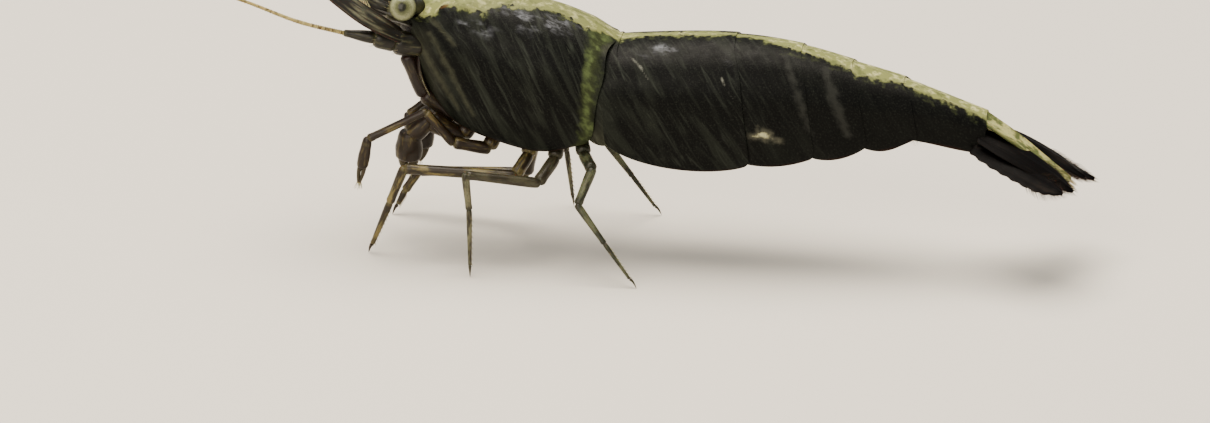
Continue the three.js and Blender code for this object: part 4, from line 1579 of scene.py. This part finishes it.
SHELL_LAYERS = [  # name, colour, what it follows, fray in mm, absent at, full at, strength, only within
    ("patchy", None, "mist", 0, 0.4, 0.62, 1, ()),
    ("see-through", None, "clear", 0, 0, 1, 1, ()),
    ("soft bands", "#1c1f1a", "bands", 0, 0.46, 0.68, 0.72, ("see-through",)),
    ("wisps", "#2c302a", "wisps", 0, 0.5, 0.78, 0.65, ("see-through",)),
    ("hairs", "#40453b", "hairs", 0, 0.56, 0.8, 0.42, ("patchy", "see-through")),
    ("speckle", "#282b25", "grain", 0, 0.5, 0.8, 0.45, ()),
    # these seven rows paint a bluish sheen and brighter glints into the colour: painted highlights high on
    # the flanks, where the wet shell would catch the lamp
    ("below the ridge", None, "depth_mm", 0, 0.55, 0.95, 1, ()),
    ("shoulder", None, "depth_mm", 0, 2.0, 1.2, 1, ("below the ridge",)),
    ("painted sheen zone", None, "sheen", 0, 0, 1, 1, ("shoulder",)),
    ("broken", None, "fray", 0, 0.34, 0.58, 1, ()),
    ("bluish sheen", "#66686e", "sheen pools", 0, 0.52, 0.76, 0.52, ("broken", "painted sheen zone")),
    # glow marks where the painted glints lie
    ("glow", None, "painted_glint_mm", 0.3, 0.4, -0.15, 1, ()),
    ("glints", "#7d8087", "sheen pools", 0, 0.44, 0.66, 0.85, ("broken", "glow")),
    ("thin shell", "#404236", "thin", 0, 0.0, 1.0, 0.8, ()),
    ("dark strands", "#100e0a", "wisps", 0, 0.54, 0.4, 0.85, ("thin shell",)),
    ("face streaks", "#3d3e31", "face_mm", 0.25, 0.15, -0.08, 0.58, ()),
    ("scars", "#74756c", "pale_mm", 0.12, 0.055, -0.04, 0.75, ()),
    ("pale bands", "#272825", "band_mm", 0.5, 0.16, -0.14, 0.75, ()),
    ("glow of the spots", "#4f4e42", "spot_mm", 0.5, 0.24, -0.04, 0.7, ()),
    ("spots", "#a5a27c", "spot_mm", 0.3, 0.04, -0.06, 0.95, ()),
    ("lip", "#1f0e07", "hem_mm", 0.1, 0.16, 0.04, 0.85, ()),
    ("band", "#272c1a", "green_mm", 0.5, 0.26, -0.1, 0.95, ()),
    ("moss", "#4c5834", "clouds", 0, 0.42, 0.66, 0.85, ("band",)),
    ("halo", "#2a2f1b", "stripe_mm", 1.4, 0.26, -0.06, 0.85, ()),
    ("stripe", "#6f7344", "stripe_mm", 1.0, 0.1, -0.13, 1, ()),
    ("cream", "#b2b07e", "fray", 0, 0.46, 0.66, 0.9, ("stripe",)),
    ("specks", "#4f5531", "clouds", 0, 0.49, 0.66, 0.8, ("stripe",)),
    ("flecks", "#4a3517", "fleck_mm", 0.15, 0.05, -0.05, 0.9, ()),
    ("tarnish", "#5c5f3d", "sheen", 0, 0.2, 1.0, 0.4, ("stripe",)),
]


def black_shell():
    material, tree, surface = finish("black_chitin_shell", IOR=CHITIN_IOR, Specular_IOR_Level=0.045)
    lie = node(tree, "UVMap", uv_map="lie").outputs["UV"]
    follow = {name: node(tree, "Attribute", attribute_name=name).outputs["Fac"] for name in SHELL_MARKS}
    for name, (long, wide, slant, detail, rough, waves) in SHELL_FLECKS.items():
        turned = node(tree, "Mapping", {"Vector": lie, "Rotation": (0, 0, math.radians(slant)),
                                        "Scale": (long, wide, 1)}, vector_type="TEXTURE")
        flecks = node(tree, "TexNoise", {"Vector": turned.outputs["Vector"], "Scale": 1.0, "Detail": detail,
                                         "Roughness": rough, "Distortion": waves})
        follow[name] = flecks.outputs["Fac"]
    deep, dull = (colour(chart) for chart in SHELL_BLACKS)
    tint = node(tree, "Mix", {MIX_FACTOR: follow["mist"], MIX_A: deep, MIX_B: dull},
                data_type="RGBA").outputs[MIX_RESULT]
    masks = {}
    for name, chart, source, fray, absent, full, strength, within in SHELL_LAYERS:
        value = follow[source]
        if fray:
            value = node(tree, "Math", {0: follow["fray"], 1: fray, 2: value},
                         operation="MULTIPLY_ADD").outputs[0]
        mask = node(tree, "MapRange", {"Value": value, "To Max": strength, "From Min": absent + fray / 2,
                                       "From Max": full + fray / 2},
                    interpolation_type="SMOOTHSTEP").outputs["Result"]
        for other in within:
            mask = node(tree, "Math", {0: mask, 1: masks[other]}, operation="MULTIPLY").outputs[0]
        masks[name] = mask
        if chart:
            tint = node(tree, "Mix", {MIX_FACTOR: mask, MIX_A: tint, MIX_B: colour(chart)},
                        data_type="RGBA").outputs[MIX_RESULT]
    tree.links.new(tint, surface.inputs["Base Color"])
    glossy, matt = SHELL_ROUGHNESS
    gloss = node(tree, "MapRange", {"Value": follow["clouds"], "From Min": 0.35, "From Max": 0.65,
                                    "To Min": glossy, "To Max": matt})
    tree.links.new(gloss.outputs["Result"], surface.inputs["Roughness"])
    relief = node(tree, "Bump", {"Height": follow["grain"], "Strength": 0.25, "Distance": GRAIN_RELIEF})
    tree.links.new(relief.outputs["Normal"], surface.inputs["Normal"])
    return material


# %% [markdown]
# ## Finish: limbs, blades and feelers
# Limb shell is thin, so brown pigment shows as blotches in a see-through olive tube, with single
# pigment cells between them as dots, and the joints, which have no pigment, are pale. Real glass-like
# transparency would render slowly and noisily at this size, so the see-through look is in the
# colours, and some light passes under the surface. One recipe makes all these finishes, from the
# colours of the pigment and of the clear shell and how much pigment there is. The blotches swell
# the skin in low waves, and the cells lie on them as a finer relief.

# %% Limb shell
BLOTCH = 0.3  # mm
PIGMENT_CELL = 0.045  # mm; a real cell is about half as wide, too fine to show
CELL_STREAK = 1.5  # how much longer than wide a cell is
LIMB_DEPTH = 0.0003  # m that light passes below the surface
RELIEFS = [("blotches", 0.00004), ("cells", 0.000012)]  # m


def limb_shell(name, dark, clear, joint_colour, pigment, gloss=0.38, streak=1.0, edge=None, dark_until=0.0,
               shine=0.2):
    """pigment is from 0, clear, to 1, dark all over, and streak is how far the blotches are drawn out.
    dark_until is the share of a limb, from the body, that is dark."""
    material, tree, surface = finish(name, Roughness=gloss, IOR=CHITIN_IOR, Specular_IOR_Level=shine,
                                     Subsurface_Weight=0.1, Subsurface_Scale=LIMB_DEPTH)
    lie = node(tree, "UVMap", uv_map="lie").outputs["UV"]
    follow = {}
    for key, long, wide, detail in (("blotches", BLOTCH * streak, BLOTCH, 3.0),
                                    ("cells", PIGMENT_CELL * CELL_STREAK, PIGMENT_CELL, 2.0)):
        drawn = node(tree, "Mapping", {"Vector": lie, "Scale": (long, wide, 1)}, vector_type="TEXTURE")
        noise = node(tree, "TexNoise", {"Vector": drawn.outputs["Vector"], "Scale": 1.0,
                                        "Detail": detail, "Roughness": 0.6})
        follow[key] = noise.outputs["Fac"]
    low = 0.68 - 0.4 * pigment
    layers = [  # colour, what it follows, absent at, full at, strength, step
        (dark, "blotches", low - 0.08, low + 0.08, 1.0, "SMOOTHSTEP"),
        (dark, "cells", 0.5, 0.68, 0.55, "SMOOTHSTEP"),
        (dark if dark_until else None, "reach", dark_until + 0.03, dark_until - 0.03, 0.75, "LINEAR"),
        (joint_colour, "joint", 0.5, 1.0, 0.6, "SMOOTHSTEP"),
        (edge, "edge", 0.8, 0.97, 0.8, "LINEAR"),
    ]
    tint = colour(clear)
    for chart, source, absent, full, strength, step in layers:
        if not chart:
            continue
        if source not in follow:
            follow[source] = node(tree, "Attribute", attribute_name=source).outputs["Fac"]
        mask = node(tree, "MapRange", {"Value": follow[source], "From Min": absent, "From Max": full,
                                       "To Max": strength}, interpolation_type=step).outputs["Result"]
        tint = node(tree, "Mix", {MIX_FACTOR: mask, MIX_A: tint, MIX_B: colour(chart)},
                    data_type="RGBA").outputs[MIX_RESULT]
    tree.links.new(tint, surface.inputs["Base Color"])
    below = {}
    for key, height in RELIEFS:
        bumps = node(tree, "Bump", {"Height": follow[key], "Strength": 0.5, "Distance": height, **below})
        below = {"Normal": bumps.outputs["Normal"]}
    tree.links.new(below["Normal"], surface.inputs["Normal"])
    return material


# %% [markdown]
# ## Finish: the eyes
# The facets are far finer than a hair, with darker seams between them. The clear cornea gives a
# sharp highlight, so it is a coat over a duller ball. The dark spot and pale ring are what an eye of
# this kind shows when it looks at you, and the pigment round them is slightly clouded. The rings
# could be separate faces, but a colour ramp that reads how far a point is towards the pole keeps
# their edges soft.

# %% Eye
FACET = 0.035  # mm; a real facet is about half as wide, too fine to show
EYE_CLOUD = 0.2  # mm, of the uneven pigment below the cornea
EYE_UNEVEN = 0.02  # how far it shifts the rings
SEAM_COLOUR = "#2c2d1c"
EYE_RINGS = [  # from the side of the eye, 0, to the way it looks, 1
    (0.0, "#1a1b12"), (0.22, "#45472f"), (0.46, "#7c7f5f"), (0.68, "#868966"), (0.85, "#606444"),
    (0.93, "#43472a"), (0.962, "#14160a"), (1.0, "#080a04"),
]


def compound_eye():
    material, tree, surface = finish("faceted_cornea", Roughness=0.5, IOR=1.4, Specular_IOR_Level=0.2,
                                     Coat_Weight=0.25, Coat_Roughness=0.1)
    gaze = node(tree, "Attribute", attribute_name="gaze").outputs["Fac"]
    place = node(tree, "TexCoord").outputs["Object"]
    clouds = node(tree, "TexNoise", {"Vector": place, "Scale": 1 / (EYE_CLOUD * MM), "Detail": 3.0})
    shift = node(tree, "MapRange", {"Value": clouds.outputs["Fac"], "From Min": 0.3, "From Max": 0.7,
                                    "To Min": -EYE_UNEVEN, "To Max": EYE_UNEVEN})
    gaze = node(tree, "Math", {0: gaze, 1: shift.outputs["Result"]}, operation="ADD").outputs[0]
    rings = node(tree, "ValToRGB", {"Fac": gaze})
    while len(rings.color_ramp.elements) < len(EYE_RINGS):
        rings.color_ramp.elements.new(0.5)
    for element, (share, chart) in zip(rings.color_ramp.elements, EYE_RINGS):
        element.position = share
        element.color = colour(chart)
    facets = node(tree, "TexVoronoi", {"Vector": place, "Scale": 1 / (FACET * MM)}, feature="F1")
    seams = node(tree, "MapRange", {"Value": facets.outputs["Distance"], "From Min": 0.35, "From Max": 0.7,
                                    "To Max": 0.4}).outputs["Result"]
    tint = node(tree, "Mix", {MIX_FACTOR: seams, MIX_A: rings.outputs["Color"], MIX_B: colour(SEAM_COLOUR)},
                data_type="RGBA")
    tree.links.new(tint.outputs[MIX_RESULT], surface.inputs["Base Color"])
    relief = node(tree, "Bump", {"Height": facets.outputs["Distance"], "Strength": 0.4, "Distance": 0.00001})
    tree.links.new(relief.outputs["Normal"], surface.inputs["Normal"])
    return material


# %% [markdown]
# ## The finishes of each part
# All of the animal is chitin, and what differs is how thick it is and how much pigment lies in it.
# Each part could get a recipe of its own, but then they would drift apart. So the parts share one
# recipe, and each is named for its pigment and takes three colours and the share of pigment.

# %% The finishes
FINISHES = {  # the colours are those of the pigment, the clear shell and the joints
    "shell": black_shell(),
    "eye": compound_eye(),
    # brown pigment nearly all over, drawn out along the limb
    "dark_leg": limb_shell("brown_leg_chitin", "#1b1208", "#564b29", "#4c452b", 0.72, streak=4),
    # the same in a clearer, amber tube
    "long_leg": limb_shell("amber_brown_leg_chitin", "#211a0e", "#6c6139", "#585031", 0.62, streak=4),
    # dark near the body, then see-through with grey-green flesh
    "pale_leg": limb_shell("grey_green_leg_chitin", "#231f14", "#5f5d45", "#2a2918", 0.48, streak=2.5,
                           dark_until=0.6),
    "green_leg": limb_shell("olive_leg_chitin", "#202116", "#4a4c35", "#201f14", 0.5, streak=2.5,
                            dark_until=0.2),
    # nearly black, as the head is
    "head_limb": limb_shell("olive_head_chitin", "#110f09", "#46452f", "#3c3b29", 0.68, streak=5),
    "stalk": limb_shell("dark_stalk_chitin", "#12110d", "#2c2b20", "#2c2b20", 0.8),
    "jaw": limb_shell("red_brown_jaw_chitin", "#140b06", "#332c1c", "#211108", 0.66, streak=5),
    # clear rings with little pigment
    "feeler": limb_shell("amber_feeler_chitin", "#44361c", "#928553", "#9f9462", 0.34),
    # thin blades, see-through in the middle and dark at the edge
    "scale": limb_shell("smoky_blade_chitin", "#16140f", "#535240", "#3f3e2d", 0.62, streak=7,
                        edge="#1a0d07"),
    "swimming": limb_shell("smoky_leaf_chitin", "#1f1f17", "#5a5a45", "#42422d", 0.5, streak=3,
                           edge="#1f1e14"),
    # black blades with a dull surface, and the pale end of the stripe between them
    "fan": limb_shell("black_blade_chitin", "#050404", "#171310", "#080706", 0.74, gloss=0.5, streak=6,
                      edge="#050302", shine=0.03),
    "telson": limb_shell("pale_telson_chitin", "#4a512c", "#9d9b64", "#636a3c", 0.45, streak=2,
                         edge="#39401f"),
    # soft skin, duller than shell
    "skin": limb_shell("soft_olive_membrane", "#1f1d14", "#42422d", "#4d4c39", 0.6, gloss=0.55),
    # setae have hardly any pigment, except on the fan
    "seta": limb_shell("pale_seta_chitin", "#4d4730", "#8d8765", "#8d8765", 0.2),
    "dark_seta": limb_shell("dark_seta_chitin", "#14110d", "#2c2820", "#2c2820", 0.6, shine=0.06),
}
print("finishes:", len(FINISHES))

# %% [markdown]
# ## Dressing the model
# Every new piece gets its finish, rides on the one body of this still model, and stands for the
# solid that it replaces. The thin shell and the slim limbs are what shows, while the solids, which
# are thicker so that they can be printed, stay for the physics.

# %% Dressing


def dress(piece, finish_name, slot, *nodes):
    """Finish, body and replaced solids of one piece. The slot is not used."""
    piece.data.materials.clear()
    piece.data.materials.append(FINISHES[finish_name])
    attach(piece, "root")
    if nodes:
        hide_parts(*nodes)


dress(carapace, "shell", "black_shell", "carapace")
for i, piece in enumerate(segments):
    dress(piece, "shell", "black_shell", f"abdomen_segment_{i + 1}")
dress(skin, "skin", "underside", "thorax_underside")
dress(rostrum, "scale", "black_shell", "rostrum")
dress(mouth, "jaw", "limb", "mouthparts")
for side, _ in SIDES:
    ball, stalk = eyes[side]
    dress(ball, "eye", "eye", f"eye_{side}")
    dress(stalk, "stalk", "underside", f"eyestalk_{side}")
    dress(antennules[side], "head_limb", "limb", f"antennule_{side}")
    dress(antenna_bases[side], "head_limb", "limb", f"antenna_base_{side}")
    dress(maxillipeds[side], "jaw", "limb", f"maxilliped_{side}")
    for kind in ("outer", "inner"):
        key = f"antennule_flagellum_{kind}"
        dress(whips[key, side], "feeler", "feeler", f"{key}_{side}")
    dress(whips["antenna_flagellum", side], "feeler", "feeler",
          f"antenna_flagellum_near_{side}", f"antenna_flagellum_far_{side}")
    for number in LEG_NUMBERS:
        kind = {3: "long_leg", 4: "pale_leg", 5: "green_leg"}.get(number, "dark_leg")
        dress(legs[number, side], kind, "limb", f"leg_{number}_{side}")
        dress(pleopods[number, side], "swimming", "underside", f"pleopod_{number}_{side}")
for (key, side), piece in blades.items():
    kind = {"antennal_scale": "scale", "telson": "telson"}.get(key, "fan")
    dress(piece, kind, "pale_stripe" if key == "telson" else "black_shell", tag_of(key, side))
for tag, piece in setae.items():
    dress(piece, "dark_seta" if tag.startswith("uropod") else "seta", "feeler")

# %% [markdown]
# ## Floor and light
# The floor is a plain pale card. A broad lamp hangs above, like the lid lamp of an aquarium, a
# second one fills the shadows from the camera's side, and the pale surroundings do the rest. Small
# lamps would give hard shadows, in which so dark an animal loses its form.

# %% Floor and light
FLOOR_SIZE = 3.0  # m
LAMPS = [  # name, place in mm, size in mm, power in W
    ("lid_lamp", (-20, 15, 190), 150, 1.1),
    ("fill_lamp", (-60, -190, 110), 160, 0.5),
]
LAMPS_AIM = (0, 0, 5)
SURROUNDINGS = 0.55  # how bright they are
bpy.ops.object.select_all(action="DESELECT")
bpy.ops.mesh.primitive_plane_add(size=FLOOR_SIZE)
floor = bpy.context.object
floor.name = "floor"
paper, _, surface = finish("pale_card", Roughness=0.9)
surface.inputs["Base Color"].default_value = colour("#cfcac0")
floor.data.materials.append(paper)

for name, place, size, power in LAMPS:
    bpy.ops.object.light_add(type="AREA", location=at(place))
    lamp = bpy.context.object
    lamp.name = name
    lamp.rotation_euler = (at(LAMPS_AIM) - lamp.location).to_track_quat("-Z", "Y").to_euler()
    lamp.data.size = size * MM
    lamp.data.energy = power
    lamp.data.color = colour("#fff4e4")[:3]

world = bpy.data.worlds.new("pale_surroundings")
bpy.context.scene.world = world
world.use_nodes = True
background = world.node_tree.nodes["Background"]
background.inputs["Color"].default_value = colour("#e4e6e8")
background.inputs["Strength"].default_value = SURROUNDINGS
print("lamps:", len(LAMPS))
